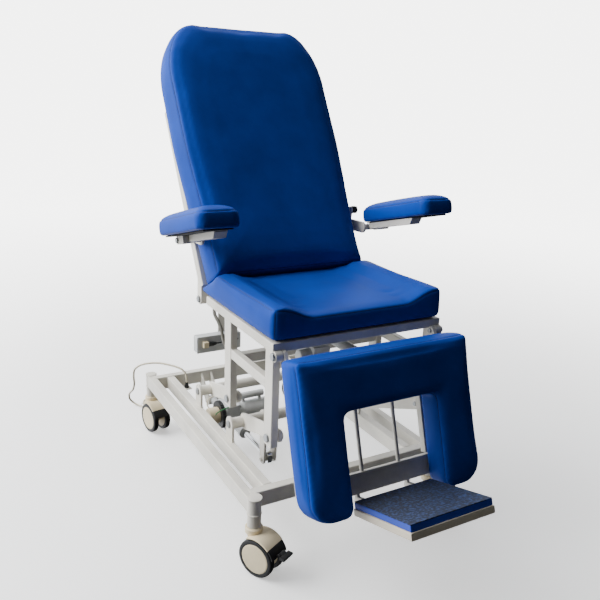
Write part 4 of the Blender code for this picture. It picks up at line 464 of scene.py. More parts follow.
def powder_coat(name, colour):
    """Polyester powder, sprayed on steel and baked: even, half glossy, with orange peel and a little grime.

    The peel is 2.5 mm and the patches of grime are 143 mm across.
    """
    made, tree, shader, place = blank(name)
    peel = add(tree, "ShaderNodeTexNoise", {"Vector": place, "Scale": across(2.5), "Detail": 1.0})
    grime = add(tree, "ShaderNodeTexNoise", {"Vector": place, "Scale": across(142.86), "Detail": 5.0,
                                             "Roughness": 0.62})
    tone = add(tree, "ShaderNodeValToRGB", {"Fac": grime.outputs["Fac"]},
               stops=((0.30, shade(colour, 0.80)), (0.62, linear(colour))))
    gloss = add(tree, "ShaderNodeMapRange", {"Value": grime.outputs["Fac"], "To Min": 0.48, "To Max": 0.34})
    bump = add(tree, "ShaderNodeBump", {"Height": peel.outputs["Fac"], "Strength": 0.08, "Distance": 0.0008})
    wire(tree, shader, {"Base Color": tone.outputs["Color"], "Roughness": gloss.outputs["Result"],
                        "Normal": bump.outputs["Normal"]})
    return made


def plated_steel(name, colour, low, high, mark_mm):
    """Plated, ground or drawn steel: a metal's own colour, its highlight spread unevenly by fine marks.

    Real marks are finer than a tenth of a millimetre, so they are drawn as wide as they need to show.
    """
    made, tree, shader, place = blank(name)
    marks = add(tree, "ShaderNodeTexNoise", {"Vector": place, "Scale": across(mark_mm), "Detail": 4.0})
    tone = add(tree, "ShaderNodeValToRGB", {"Fac": marks.outputs["Fac"]},
               stops=((0.0, shade(colour, 0.80)), (1.0, shade(colour, 1.08))))
    gloss = add(tree, "ShaderNodeMapRange", {"Value": marks.outputs["Fac"], "To Min": low, "To Max": high})
    wire(tree, shader, {"Base Color": tone.outputs["Color"], "Roughness": gloss.outputs["Result"],
                        "Metallic": 1.0})
    return made


def moulded(name, colour, low, high, grit_mm, depth):
    """A moulded, cast or extruded skin: matt by its grit, and uneven in tone and gloss in patches of 71 mm.

    The grit of a real mould is about 0.2 mm, too fine to show, and is drawn coarser.
    """
    made, tree, shader, place = blank(name)
    grit = add(tree, "ShaderNodeTexNoise", {"Vector": place, "Scale": across(grit_mm), "Detail": 2.0})
    broad = add(tree, "ShaderNodeTexNoise", {"Vector": place, "Scale": across(71.429), "Detail": 3.0})
    tone = add(tree, "ShaderNodeValToRGB", {"Fac": broad.outputs["Fac"]},
               stops=((0.28, shade(colour, 0.84)), (0.70, shade(colour, 1.06))))
    gloss = add(tree, "ShaderNodeMapRange", {"Value": broad.outputs["Fac"], "To Min": low, "To Max": high})
    bump = add(tree, "ShaderNodeBump", {"Height": grit.outputs["Fac"], "Strength": depth, "Distance": 0.0006})
    wire(tree, shader, {"Base Color": tone.outputs["Color"], "Roughness": gloss.outputs["Result"],
                        "Normal": bump.outputs["Normal"], "IOR": 1.49})
    return made


def grained_mat(colour):
    """Rubber with a pressed tread: dull, its dark pebbles 2.4 mm and pale specks of dust 7.7 mm across."""
    made, tree, shader, place = blank("pebbled_rubber_mat")
    pebbles = add(tree, "ShaderNodeTexVoronoi", {"Vector": place, "Scale": across(2.381)})
    dust = add(tree, "ShaderNodeTexNoise", {"Vector": place, "Scale": across(7.6923), "Detail": 4.0})
    tone = add(tree, "ShaderNodeValToRGB", {"Fac": dust.outputs["Fac"]},
               stops=((0.46, shade(colour, 0.40)), (0.68, shade(colour, 2.2))))
    bump = add(tree, "ShaderNodeBump", {"Height": pebbles.outputs["Distance"], "Strength": 0.5,
                                        "Distance": 0.001})
    wire(tree, shader, {"Base Color": tone.outputs["Color"], "Normal": bump.outputs["Normal"],
                        "Roughness": 0.72})
    return made


FINISHES = {}


def finishes(context):
    """The chair's materials, made once."""
    if FINISHES:
        return FINISHES
    hues = context.scene.chair_colours
    FINISHES.update(
        vinyl=pvc_vinyl(hues.vinyl),
        # Spun polyester, twisted: a dull line, darker than the vinyl.
        thread=moulded("polyester_thread", "0d2050", 0.55, 0.70, 1.111, 0.2),
        paint=powder_coat("powder_coat_ivory", hues.paint),
        tray=powder_coat("powder_coat_tan", hues.tray),
        # Zinc, plated and passivated: greyish, with a soft shine.
        zinc=plated_steel("zinc_plated_steel", "a3a6a8", 0.26, 0.42, 6.25),
        # Hard chrome, ground and polished: bright, almost a mirror.
        chrome=plated_steel("hard_chrome", "d6d8da", 0.07, 0.15, 11.111),
        # Steel, drawn bright: a darker, warmer grey.
        steel=plated_steel("bright_drawn_steel", "8d8a84", 0.22, 0.40, 8.3333),
        # Enamel on a casting: even grey with a half gloss.
        grey=moulded("die_cast_grey_enamel", hues.grey, 0.36, 0.52, 2.381, 0.10),
        # Nylon with glass, moulded: black, dulled by its fibres.
        black=moulded("glass_filled_nylon_black", hues.black, 0.42, 0.60, 1.6667, 0.18),
        # Polyurethane, cast: black and matt, scuffed by the floor.
        rubber=moulded("polyurethane_tyre_black", "131416", 0.50, 0.66, 2.0, 0.14),
        # Polypropylene, moulded: warm beige with a waxy half gloss.
        beige=moulded("polypropylene_beige", hues.beige, 0.38, 0.50, 2.0, 0.08),
        # Felted fibre: black and without shine.
        board=moulded("black_nonwoven_backing", "1c1d20", 0.80, 0.92, 1.4286, 0.5),
        mat_top=grained_mat(hues.mat_top),
        # EVA foam, cut: clear blue and dull.
        mat_edge=moulded("eva_foam_blue", hues.mat_edge, 0.55, 0.68, 1.4286, 0.12),
        # PVC, extruded: cream, smooth and half glossy; the wire is the same in green.
        cord=moulded("pvc_cord_cream", hues.cord, 0.40, 0.52, 1.6667, 0.06),
        green=moulded("pvc_wire_green", "2f8a4a", 0.40, 0.50, 1.6667, 0.05),
        # Nylon conduit, corrugated: dusty grey and dull.
        cable=moulded("ribbed_conduit_grey", "77746c", 0.45, 0.60, 1.6667, 0.10),
    )
    return FINISHES


# The studio.

def look(eye, target):
    """A rotation whose -Z points from eye to target, with +Y up."""
    return (Vector(target) - Vector(eye)).to_track_quat("-Z", "Y").to_matrix().to_4x4()


class CHAIR_OT_stage(bpy.types.Operator):
    """Lays the floor, sets the soft light and places the camera at the photograph's angle"""

    bl_idname = "chair.stage"
    bl_label = "Stage"

    eye = (-1.0447, -1.7662, 1.3120)
    yaw, pitch, roll = -29.907, -17.053, 2.343
    focal_pixels, frame_pixels = 678.78, 600.0
    principal = (301.117, 300.441)
    bright_side, dim, bright = (-0.35, 0.92, 0.15), 0.06, 2.3

    def execute(self, context):
        scene = context.scene
        self.lay_floor(scene)
        self.surround(scene)
        for name, spot, aim, size, power in (
            ("window", (-3.0, 1.5, 2.7), (0.0, 0.1, 0.6), 3.0, 270.0),
            ("ceiling", (-0.3, 1.1, 3.4), (0.0, 0.0, 0.5), 2.0, 20.0),
        ):
            lamp = bpy.data.lights.new(name, "AREA")
            lamp.size = size
            lamp.energy = power
            holder = bpy.data.objects.new(name, lamp)
            holder.matrix_world = Matrix.Translation(spot) @ look(spot, aim)
            scene.collection.objects.link(holder)
        self.place_camera(scene)
        return {"FINISHED"}

    def lay_floor(self, scene):
        """White paper, flat near the chair, that curves up into a wall all round and glows brighter far out.

        It is only a ground for the picture: it throws no light and no shadow back on the chair.
        """
        count, flat, curve, top = 72, 7.0, 3.0, 12.0
        bend = curve * np.sin(np.linspace(0.1, math.pi / 2, 14))
        reach = np.concatenate([np.linspace(0.02, flat, 15), flat + bend])
        rise = np.where(reach > flat, curve - np.sqrt(np.maximum(curve ** 2 - (reach - flat) ** 2, 0.0)), 0.0)
        reach, rise = np.append(reach, flat + curve), np.append(rise, top)
        angle = np.arange(count) * math.tau / count
        points = np.stack([reach[:, None] * np.cos(angle), reach[:, None] * np.sin(angle),
                           np.broadcast_to(rise[:, None], (len(reach), count))], -1).reshape(-1, 3)
        mesh = bpy.data.meshes.new("floor")
        mesh.from_pydata(points.tolist(), [], [list(range(count))] + quads_of(len(reach), count).tolist())
        made, tree, shader, place = blank("seamless_paper_floor")
        away = add(tree, "ShaderNodeVectorMath", {0: place}, operation="LENGTH").outputs["Value"]
        glow = add(tree, "ShaderNodeMapRange", {"Value": away, "From Min": 0.6, "From Max": 6.0,
                                                "To Min": 0.6, "To Max": 6.0},
                   interpolation_type="SMOOTHSTEP")
        paper = add(tree, "ShaderNodeMapRange", {"Value": away, "From Min": 2.5, "From Max": 6.0,
                                                 "To Min": 0.9, "To Max": 0.0},
                    interpolation_type="SMOOTHSTEP")
        wire(tree, shader, {"Emission Strength": glow.outputs["Result"],
                            "Base Color": paper.outputs["Result"],
                            "Emission Color": linear(scene.chair_colours.floor), "Roughness": 0.85})
        mesh.materials.append(made)
        floor = bpy.data.objects.new("floor", mesh)
        scene.collection.objects.link(floor)
        floor.visible_diffuse = floor.visible_glossy = floor.visible_shadow = False

    def surround(self, scene):
        """White surroundings, bright behind the chair and to its left, dim in front, as by a window."""
        world = bpy.data.worlds.new("studio")
        world.use_nodes = True
        tree = world.node_tree
        way = add(tree, "ShaderNodeTexCoord").outputs["Generated"]
        toward = add(tree, "ShaderNodeVectorMath", {0: way, 1: self.bright_side}, operation="DOT_PRODUCT")
        share = add(tree, "ShaderNodeMapRange", {"Value": toward.outputs["Value"], "From Min": -0.05,
                                                 "From Max": 0.6, "To Min": self.dim, "To Max": self.bright},
                    interpolation_type="SMOOTHSTEP")
        sky = tree.nodes["Background"]
        sky.inputs["Color"].default_value = (0.95, 0.97, 1.0, 1.0)
        tree.links.new(share.outputs["Result"], sky.inputs["Strength"])
        scene.world = world

    def place_camera(self, scene):
        """Yaw and pitch give the forward line, and roll turns the picture about it."""
        yaw, pitch, roll = (math.radians(a) for a in (self.yaw, self.pitch, self.roll))
        right = np.array([math.cos(yaw), math.sin(yaw), 0.0])
        level = np.array([-math.sin(yaw), math.cos(yaw), 0.0])
        ahead = level * math.cos(pitch) + np.array([0, 0, math.sin(pitch)])
        up = np.cross(right, ahead)
        right, up = (math.cos(roll) * right + math.sin(roll) * up,
                     -math.sin(roll) * right + math.cos(roll) * up)
        place = Matrix.Identity(4)
        for column, axis in enumerate((right, up, -ahead)):
            place.col[column][:3] = axis
        place.translation = (self.eye[0], self.eye[1] + SHIFT_Y, self.eye[2])
        lens = bpy.data.cameras.new("photo_camera")
        lens.sensor_width = 36.0
        lens.lens = self.focal_pixels * lens.sensor_width / self.frame_pixels
        lens.shift_x = (self.frame_pixels / 2 - self.principal[0]) / self.frame_pixels
        lens.shift_y = (self.principal[1] - self.frame_pixels / 2) / self.frame_pixels
        camera = bpy.data.objects.new("photo_camera", lens)
        camera.matrix_world = place
        scene.collection.objects.link(camera)
        scene.camera = camera


# The mains cord.

def coil_path():
    """Two layers: in along the floor, up one layer in the half turn where the spiral reverses, out again."""
    outer = COIL_MIDDLE + COIL_PITCH * COIL_TURNS / 2
    inner = outer - COIL_PITCH * COIL_TURNS
    turn = np.arange(round((2 * COIL_TURNS + 0.5) * LOOP_POINTS) + 1) / LOOP_POINTS
    share = np.clip((turn - COIL_TURNS) / 0.5, 0, 1)
    radius = np.where(turn <= COIL_TURNS, outer - COIL_PITCH * turn,
                      np.where(turn <= COIL_TURNS + 0.5,
                               inner - COIL_DIP * COIL_PITCH * np.sin(math.pi * share),
                               inner + COIL_PITCH * (turn - COIL_TURNS - 0.5)))
    height = CORD_RADIUS + GAP + COIL_PITCH * (3 - 2 * share) * share ** 2
    angle = math.tau * turn + COIL_TURNED
    path = np.stack([COIL_AT[0] + radius * np.cos(angle), COIL_AT[1] + radius * np.sin(angle), height], -1)
    first = (path[0] - path[1]) / np.linalg.norm(path[0] - path[1])
    final = (path[-1] - path[-2]) / np.linalg.norm(path[-1] - path[-2])
    tail = 2 * CORD_RADIUS
    return np.concatenate([[path[0] + first * tail], path, [path[-1] + final * tail]]), first, final


class CHAIR_OT_mains_cord(bpy.types.Operator):
    """Lays the mains cord from its gland over the rear bar to a tied coil behind the rear caster"""

    bl_idname = "chair.mains_cord"
    bl_label = "Mains cord"

    def execute(self, context):
        coil, first, final = coil_path()
        start = np.array([GLAND[0], GLAND[1], GLAND[2] + GLAND_HEIGHT + GAP])
        end = coil[0] + first * GAP
        route = smooth_route([
            start, start + (0, 0, 0.016), (-0.2023, 0.5803, 0.2362), (-0.2086, 0.5866, 0.2494),
            (-0.2177, 0.5957, 0.2577), (-0.242, 0.620, 0.265), (-0.288, 0.664, 0.268), (-0.336, 0.702, 0.256),
            (-0.361, 0.730, 0.229), (-0.362, 0.750, 0.190), (-0.354, 0.774, 0.148), (-0.351, 0.806, 0.108),
            (-0.352, 0.842, 0.080), (-0.3515, 0.8700, 0.0550), (-0.3452, 0.8832, 0.0279),
            (-0.3306, 0.8763, 0.0109), end + first * 0.030 + (0, 0, GAP), end + first * 0.012, end], 0.010)
        path = np.concatenate([route[:-1], coil])
        cord = piece("mains_cord_flex", [swept(path, CORD_RADIUS, 12)], "cord", "base",
                     ("mains_cord", "cord_coil"), weighted=False)
        grip = [(0, 0.0090), (0.006, 0.0090), (0.0063, 0.0082), (0.0090, 0.0078), (0.0094, 0.0072),
                (0.0120, 0.0070), (0.0124, 0.0064), (0.0150, 0.0062), (0.0154, 0.0058), (0.0180, 0.0056),
                (GLAND_HEIGHT, 0.0052)]
        gland = piece("cord_strain_relief", [turned(grip, GLAND, (0, 0, 1))], "black", "base",
                      ("cord_gland",))
        at = coil[-1] + final * GAP
        body = [(0, 0.0052), (0.004, 0.0056), (0.008, 0.0060), (0.012, 0.0066), (0.0155, 0.0112),
                (0.017, 0.0120), (0.036, 0.0120), (0.041, 0.0116), (0.043, 0.0100)]
        side = np.array([-final[1], final[0], 0.0]) * 0.0065
        pins = [rod(at + final * 0.040 + apart, at + final * 0.062 + apart, 0.0021, 0.0008)
                for apart in (-side, side)]
        plug = piece("mains_plug_body", [turned(body, at, final)], "black", "base", ("mains_plug",))
        prongs = piece("mains_plug_prongs", pins, "steel", "base")
        middle = np.array([COIL_AT[0] - COIL_MIDDLE, COIL_AT[1], COIL_PITCH / 2 + CORD_RADIUS + GAP])
        angle = np.arange(28) * math.tau / 28
        reach = (COIL_PITCH * COIL_TURNS / 2 + CORD_RADIUS + 0.0012, COIL_PITCH / 2 + CORD_RADIUS + GAP)
        across, up = (np.sign(wave) * np.abs(wave) ** 0.5 for wave in (np.cos(angle), np.sin(angle)))
        tie_path = middle + np.stack([across * reach[0], np.zeros(28),
                                      np.maximum(up * reach[1], -reach[1] + 0.0009)], -1)
        tie = piece("cord_tie", [swept(tie_path, 0.0008, 8, closed=True)], "black", "base")
        return {"FINISHED"}


# The base and its lift.

class CHAIR_OT_base_frame(bpy.types.Operator):
    """Welds the base from square tube, caster posts, pivot lugs and the drive's clevis"""

    bl_idname = "chair.base_frame"
    bl_label = "Base frame"

    def execute(self, context):
        sizes = context.scene.chair_sizes
        (low, high), rails, beads = RAIL_Z, [], []
        for side, _ in SIDES:
            rails.append(bar(mirrored(side, *OUTER_RAIL), POST_Y, RAIL_Z, sizes.corner))
            rails.append(bar(mirrored(side, *INNER_RAIL), BAR_Y, RAIL_Z, sizes.corner))
            for y in POST_Y:
                post = [(0, 0.0188), (0.0012, 0.020), (0.0898, 0.020), (0.0905, 0.0192), (0.0915, 0.0175),
                        (0.092, 0.012)]
                rails.append(turned(post, (side * POST_X, y, 0.137), (0, 0, 1), 48))
                for z in (low - 0.0004, high + 0.0004):
                    angle = np.linspace(0, math.tau, 60, endpoint=False)
                    ripple = sizes.bead * 0.8 * (1 + 0.14 * np.cos(angle * 24))
                    ring = np.stack([side * POST_X + 0.0205 * np.cos(angle), y + 0.0205 * np.sin(angle),
                                     np.full(60, z)], -1)
                    beads.append(swept(ring, ripple, 8, closed=True))
            for pivot in (FRONT_PIVOT, REAR_PIVOT):
                outline = link((pivot[0], RAIL_MIDDLE), 0.024, pivot, 0.025, 20)
                rails.append(plate(outline, mirrored(side, *LUG), sizes.edge))
                seam = np.linspace(-0.022, 0.022, 24)
                ripple = sizes.bead * (1 + 0.15 * np.cos(np.arange(24) * 1.9))
                line = np.stack([np.full(24, side * 0.2405), pivot[0] + seam, np.full(24, high)], -1)
                beads.append(swept(line, ripple, 8))
            clevis = LIFT_X + side * LEVER_APART
            rails.append(plate(link((BAR_Y[1], RAIL_MIDDLE), 0.021, (CLEVIS_Y, LIFT_Z), 0.018, 20),
                               (clevis - LEVER_HALF, clevis + LEVER_HALF), sizes.edge))
        for y in BAR_Y:
            rails.append(bar((-POST_X, POST_X), (y - 0.015, y + 0.015), (low - 0.001, high + 0.001),
                             sizes.corner))
            inward = math.copysign(1.0, 0.2 - y)
            for side, _ in SIDES:
                beads.append(weld_ring((side * 0.2535, y + inward * 0.0152, RAIL_MIDDLE), (0, 1, 0), 0.0145,
                                       0.024, sizes.bead))
        rails.append(bar((-0.216, -0.184), (0.562, BAR_Y[1]), (low, 0.182), 0.0015))
        rails.append(rod((LIFT_X - 0.030, CLEVIS_Y, LIFT_Z), (LIFT_X + 0.030, CLEVIS_Y, LIFT_Z), PIN_RADIUS))
        piece("base_frame_tubes", rails, "paint", "base", ("base_frame",))
        piece("base_frame_welds", beads, "paint", "base")
        for name, pivot in (("front", FRONT_PIVOT), ("rear", REAR_PIVOT)):
            shaft = [rod((-0.251, *pivot), (0.251, *pivot), PIN_RADIUS)]
            for side, _ in SIDES:
                shaft += [turned([(0, 0.0125), (0.001, 0.0125), (0.0012, 0.012)], (side * 0.2494, *pivot),
                                 (side, 0, 0)),
                          hexagon_head((side * 0.2505, *pivot), (side, 0, 0), 0.0118, 0.0046)]
            piece(name + "_pivot_bolt", shaft, "zinc", "base", (name + "_pivot_shaft",))
        return {"FINISHED"}


def eye_rod(x, eye, slot, eye_radius, reach, radius, root=0.0122):
    """A round rod along Y, from root behind the pin, that ends in a slotted eye with its slot upright."""
    low, high, hole = (eye[0], eye[1] - slot), (eye[0], eye[1] + slot), 0.0092
    toward = math.copysign(1.0, reach - eye[0])
    return [ring_plate(link(low, eye_radius, high, eye_radius, 20), link(low, hole, high, hole, 20),
                       (x - 0.008, x + 0.008)),
            rod((x, eye[0] + toward * root, eye[1]), (x, reach, eye[1]), radius, 0.001)]


class CHAIR_OT_lift(bpy.types.Operator):
    """Builds the lift arms, the drive with its motor, capacitor, geared ring and wires, and the chrome rod"""

    bl_idname = "chair.lift"
    bl_label = "Lift"

    def arms(self, pivot, lever, edge):
        """A torsion tube and two arm plates, sheared out to the side frames in proportion to their reach."""
        tip = (pivot[0] - ARM_REACH, pivot[1] + ARM_RISE)
        solids = [rod((-0.2405, *pivot), (0.2405, *pivot), 0.018)]
        along = np.array([tip[0] - pivot[0], tip[1] - pivot[1]])
        for side, _ in SIDES:
            points, faces = plate(link(pivot, 0.026, tip, 0.019, 20), mirrored(side, 0.190, 0.200), edge)
            share = (points[:, 1:] - pivot) @ along / (along @ along)
            points = points + np.column_stack([side * 0.048 * share, 0 * share, 0 * share])
            solids += [(points, faces), rod((side * 0.235, *tip), (side * 0.2545, *tip), 0.015),
                       turned([(0, 0.021), (0.004, 0.0185)], (side * 0.200, *pivot), (side, 0, 0))]
        if lever:
            foot = (pivot[0], pivot[1] - 0.158)
            for side, _ in SIDES:
                x = LIFT_X + side * LEVER_APART
                solids.append(plate(link(pivot, 0.024, foot, 0.016, 20), (x - LEVER_HALF, x + LEVER_HALF),
                                    edge))
            solids.append(rod((LIFT_X - 0.030, *foot), (LIFT_X + 0.030, *foot), PIN_RADIUS))
        return solids

    def execute(self, context):
        edge = context.scene.chair_sizes.edge
        piece("front_lift_arm_weldment", self.arms(FRONT_PIVOT, True, edge), "paint", "front_arm",
              ("front_lift_arm",))
        piece("rear_lift_arm_weldment", self.arms(REAR_PIVOT, False, edge), "paint", "rear_arm",
              ("rear_lift_arm",))
        axis = (LIFT_X, LIFT_Z)
        tube = [(0, 0.0106), (0, 0.0215), (0.001, 0.022), (0.013, 0.022), (0.014, 0.0192), (0.06, 0.019),
                (0.145, 0.019)]
        body = [turned(tube, (axis[0], 0.235, axis[1]), (0, 1, 0)),
                bar((-0.135, -0.075), (0.336, 0.424), (0.090, 0.188), 0.010),
                rod((axis[0], 0.40, axis[1]), (axis[0], CLEVIS_Y, axis[1]), 0.014),
                rod((LIFT_X - 0.015, CLEVIS_Y, LIFT_Z), (LIFT_X + 0.015, CLEVIS_Y, LIFT_Z), 0.018)]
        for y in (0.344, 0.416):
            for z in (0.100, 0.178):
                body.append(turned([(0, 0.0045), (0.003, 0.0045), (0.004, 0.0036)], (-0.0753, y, z),
                                   (1, 0, 0), 24))
        piece("lift_drive_case", body, "grey", "base", ("lift_actuator_body",))
        shell = [(0, 0.031), (0.003, 0.0345), (0.012, 0.0350), (0.014, 0.0342), (0.017, 0.0342),
                 (0.019, 0.0350), (0.120, 0.0350), (0.122, 0.0342), (0.125, 0.0342), (0.127, 0.0350),
                 (0.142, 0.0345), (0.147, 0.030), (0.1497, 0.020)]
        can = [(0, 0.0110), (0.002, 0.0128), (0.094, 0.0130), (0.097, 0.0118), (0.098, 0.0095)]
        motor = [turned(shell, (-0.0747, MOTOR_Y, MOTOR_Z), (1, 0, 0), 48),
                 turned(can, (-0.062, MOTOR_Y, 0.202), (1, 0, 0))]
        for x in (-0.052, 0.016):
            motor.append(bar((x, x + 0.010), (MOTOR_Y - 0.005, MOTOR_Y + 0.005), (0.160, 0.192), 0.001))
            ring = [(0, 0.0355), (0.0008, 0.0360), (0.0092, 0.0360), (0.010, 0.0355)]
            motor.append(turned(ring, (x, MOTOR_Y, MOTOR_Z), (1, 0, 0), 48))
        piece("lift_motor_housing", motor, "grey", "base", ("lift_motor",))
        teeth = 36
        gear = turned([(0, 0.0500), (0.001, 0.0515), (0.0135, 0.0515), (0.0147, 0.0500)],
                      (-0.150, MOTOR_Y, MOTOR_Z), (1, 0, 0), teeth * 8,
                      lambda angle: 1 + 0.019 * np.tanh(3 * np.sin(angle * teeth)))
        piece("lift_gear_ring", [gear], "black", "base", ("lift_gear_cover",))
        tin = [(0, 0.0255), (0.002, 0.0295), (0.006, 0.031), (0.034, 0.031), (0.035, 0.0300), (0.042, 0.0300)]
        piece("lift_brake_cover", [turned(tin, (-0.190, MOTOR_Y, MOTOR_Z), (1, 0, 0), 48)], "beige", "base")
        wires = [[(-0.170, 0.352, 0.160), (-0.172, 0.338, 0.172), (-0.158, 0.328, 0.186),
                  (-0.128, 0.330, 0.192), (-0.100, 0.350, 0.190)],
                 [(-0.172, 0.408, 0.160), (-0.176, 0.424, 0.172), (-0.162, 0.436, 0.188),
                  (-0.130, 0.432, 0.194), (-0.100, 0.410, 0.190)]]
        for name, finish, route in (("green", "green", wires[0]), ("cream", "cord", wires[1])):
            piece("lift_wire_" + name, [swept(smooth_route(route, 0.004), 0.0022, 10)], finish, "base",
                  weighted=False)
        rod_with_eye = eye_rod(LIFT_X, (FRONT_PIVOT[0], LIFT_Z), 0.0058, 0.017, FRONT_PIVOT[0] + 0.280, 0.010,
                               0.0145)
        piece("lift_rod_chromed", rod_with_eye, "chrome", "lift_rod", ("lift_rod",))
        return {"FINISHED"}


# The seat's frame, drives and controls.

class CHAIR_OT_seat_frame(bpy.types.Operator):
    """Builds the seat frame with its side frames, pins, board, drives, rods, control box and cables"""

    bl_idname = "chair.seat_frame"
    bl_label = "Seat frame"

    def frame(self, sizes):
        """Two H-shaped side frames of square tube, their lugs and ears, three cross tubes and a bracket."""
        tubes, beads = [], []
        for side, _ in SIDES:
            tubes.append(bar(mirrored(side, SIDE_IN, SEAT_HALF), (-0.300, 0.165), (0.655, 0.683),
                             sizes.corner))
            for y, _ in (FRONT_PIN, REAR_PIN):
                tubes.append(bar(mirrored(side, SIDE_IN + 0.001, SEAT_HALF - 0.001), (y - 0.0225, y + 0.0225),
                                 (0.377, 0.665), sizes.corner))
                beads.append(weld_ring((side * (SIDE_IN + TUBE / 2), y, 0.6552), (0, 0, 1), TUBE / 2 - 0.0015,
                                       0.0225, sizes.bead * 0.8))
            tubes.append(bar(mirrored(side, SIDE_IN + 0.002, SEAT_HALF - 0.002), (-0.285, 0.010),
                             (0.540, 0.570), sizes.corner))
            for y in (-0.2552, -0.0252):
                beads.append(weld_ring((side * (SIDE_IN + TUBE / 2), y, 0.555), (0, 1, 0), TUBE / 2 - 0.0025,
                                       0.015, sizes.bead * 0.8))
            lug = link(LEG_HINGE, 0.015, (-0.272, LEG_HINGE[1]), 0.0145, 20)
            tubes.append(plate(lug, mirrored(side, SIDE_IN + 0.0015, SEAT_HALF - 0.0015), sizes.edge))
            ear = link(BACK_HINGE, 0.017, (0.145, 0.668), 0.0125, 20)
            tubes.append(plate(ear, mirrored(side, 0.245, SIDE_IN - GAP), sizes.edge))
            tubes.append(hexagon_head((side * 0.245, 0.153, 0.671), (-side, 0, 0), 0.0065, 0.004))
        for y, z in (((-0.299, -0.272), (0.656, 0.682)), ((0.121, 0.149), (0.656, 0.682)),
                     ((-0.0175, 0.0125), (0.5142, 0.5442))):
            tubes.append(bar((-CROSS_HALF, CROSS_HALF), y, z, sizes.corner))
        for side, _ in SIDES:
            beads.append(weld_ring((side * 0.2555, -0.0025, 0.5292), (1, 0, 0), 0.015, 0.015,
                                   sizes.bead * 0.8))
        for y, z in (((0.131, 0.1365), (0.600, 0.662)), ((0.132, 0.2890), (0.5975, 0.603)),
                     ((0.2840, 0.2890), (0.462, 0.601))):
            tubes.append(bar((-0.190, -0.165), y, z, 0.0012))
        piece("seat_frame_tubes", tubes, "paint", "seat", ("seat_frame",))
        piece("seat_frame_welds", beads, "paint", "seat")

    def pins(self):
        """Headed pins in the lift arms and in the hinges of the back and the leg rest."""
        for side, word in SIDES:
            for name, at in (("front", FRONT_PIN), ("rear", REAR_PIN)):
                piece(f"lift_pin_bolt_{name}_{word}", headed_pin(side, 0.231, SEAT_HALF, at, PIN_RADIUS,
                                                                 0.012),
                      "zinc", "seat", (f"lift_pin_{name}_{word}",))
            for name, at, low in (("leg", LEG_HINGE, 0.2395), ("back", BACK_HINGE, 0.241)):
                piece(f"{name}_hinge_bolt_{word}", headed_pin(side, low, SEAT_HALF, at, PIN_RADIUS, 0.011),
                      "zinc", "seat", (f"{name}_hinge_pin_{word}",))

    def drive(self, name, x, z, mouth, end, side):
        """A linear drive along Y: guide tube with a collar at its mouth, gear case, motor and saddle."""
        toward = math.copysign(1.0, end - mouth)
        guide = [(0, 0.0088), (0, 0.0176), (0.001, 0.018), (0.016, 0.018), (0.017, 0.0168), (0.024, 0.017),
                 (abs(end - mouth) + 0.02, 0.017)]
        case = bar((x - 0.028, x + 0.028), (end, end + toward * 0.055), (z - 0.026, z + 0.034), 0.006,
                   along=1)
        start = x + side * 0.008
        bell = [(0, 0.020), (0.006, 0.022), (0.040, 0.022), (0.042, 0.0212), (0.055, 0.0212), (0.058, 0.019),
                (0.060, 0.012)]
        solids = [turned(guide, (x, mouth, z), (0, toward, 0)), case,
                  turned(bell, (start, end + toward * 0.028, z + 0.004), (side, 0, 0)),
                  bar((x - 0.014, x + 0.014), (-0.012, 0.012), (0.5445, z - 0.0115), 0.0012)]
        piece(name + "_housing", solids, "grey", "seat", (name,))

    def controls(self):
        """The control box with its screws and socket, a plug with a lead, and the ribbed conduit."""
        solids = [bar((-0.280, -0.120), (0.250, 0.2837), (0.455, 0.513), 0.004, along=1)]
        for x in (-0.272, -0.128):
            for z in (0.463, 0.505):
                solids.append(turned([(0, 0.0034), (0.0014, 0.0032), (0.0018, 0.0022)], (x, 0.2501, z),
                                     (0, -1, 0), 24))
        piece("control_box_shell", solids, "grey", "seat", ("control_box",))
        piece("control_socket", [bar((-0.262, -0.244), (0.232, 0.251), (0.478, 0.498), 0.002)], "beige",
              "seat")
        plug = [(0, 0.0078), (0.001, 0.008), (0.010, 0.008), (0.0105, 0.0070), (0.013, 0.0070),
                (0.0135, 0.0078), (0.018, 0.0074), (0.0297, 0.0040)]
        lead = smooth_route([(-0.216, 0.241, 0.488), (-0.195, 0.240, 0.489), (-0.176, 0.230, 0.500),
                             (-0.168, 0.205, 0.512), (-0.168, 0.170, 0.522)], 0.004)
        piece("control_plug_and_lead", [turned(plug, (-0.2437, 0.241, 0.488), (1, 0, 0)),
                                        swept(lead, 0.0025, 10)],
              "black", "seat", ("control_plug",))
        route = smooth_route([
            (-0.240, 0.196, 0.641), (-0.242, 0.194, 0.622), (-0.246, 0.176, 0.611), (-0.248, 0.145, 0.600),
            (-0.248, 0.120, 0.583), (-0.248, 0.107, 0.560), (-0.246, 0.092, 0.538), (-0.238, 0.068, 0.529),
            (-0.228, 0.050, 0.5322), (-0.224, 0.0348, 0.5322), (-0.224, 0.0238, 0.5322),
            (-0.224, 0.0128, 0.5322),
        ], 0.0008)
        ribs = 0.0052 + 0.0005 * np.sign(np.sin(np.arange(len(route)) * math.tau / 4 + 0.4))
        piece("seat_cable_conduit", [swept(route, ribs, 14)], "cable", "seat", ("seat_cable",),
              weighted=False)

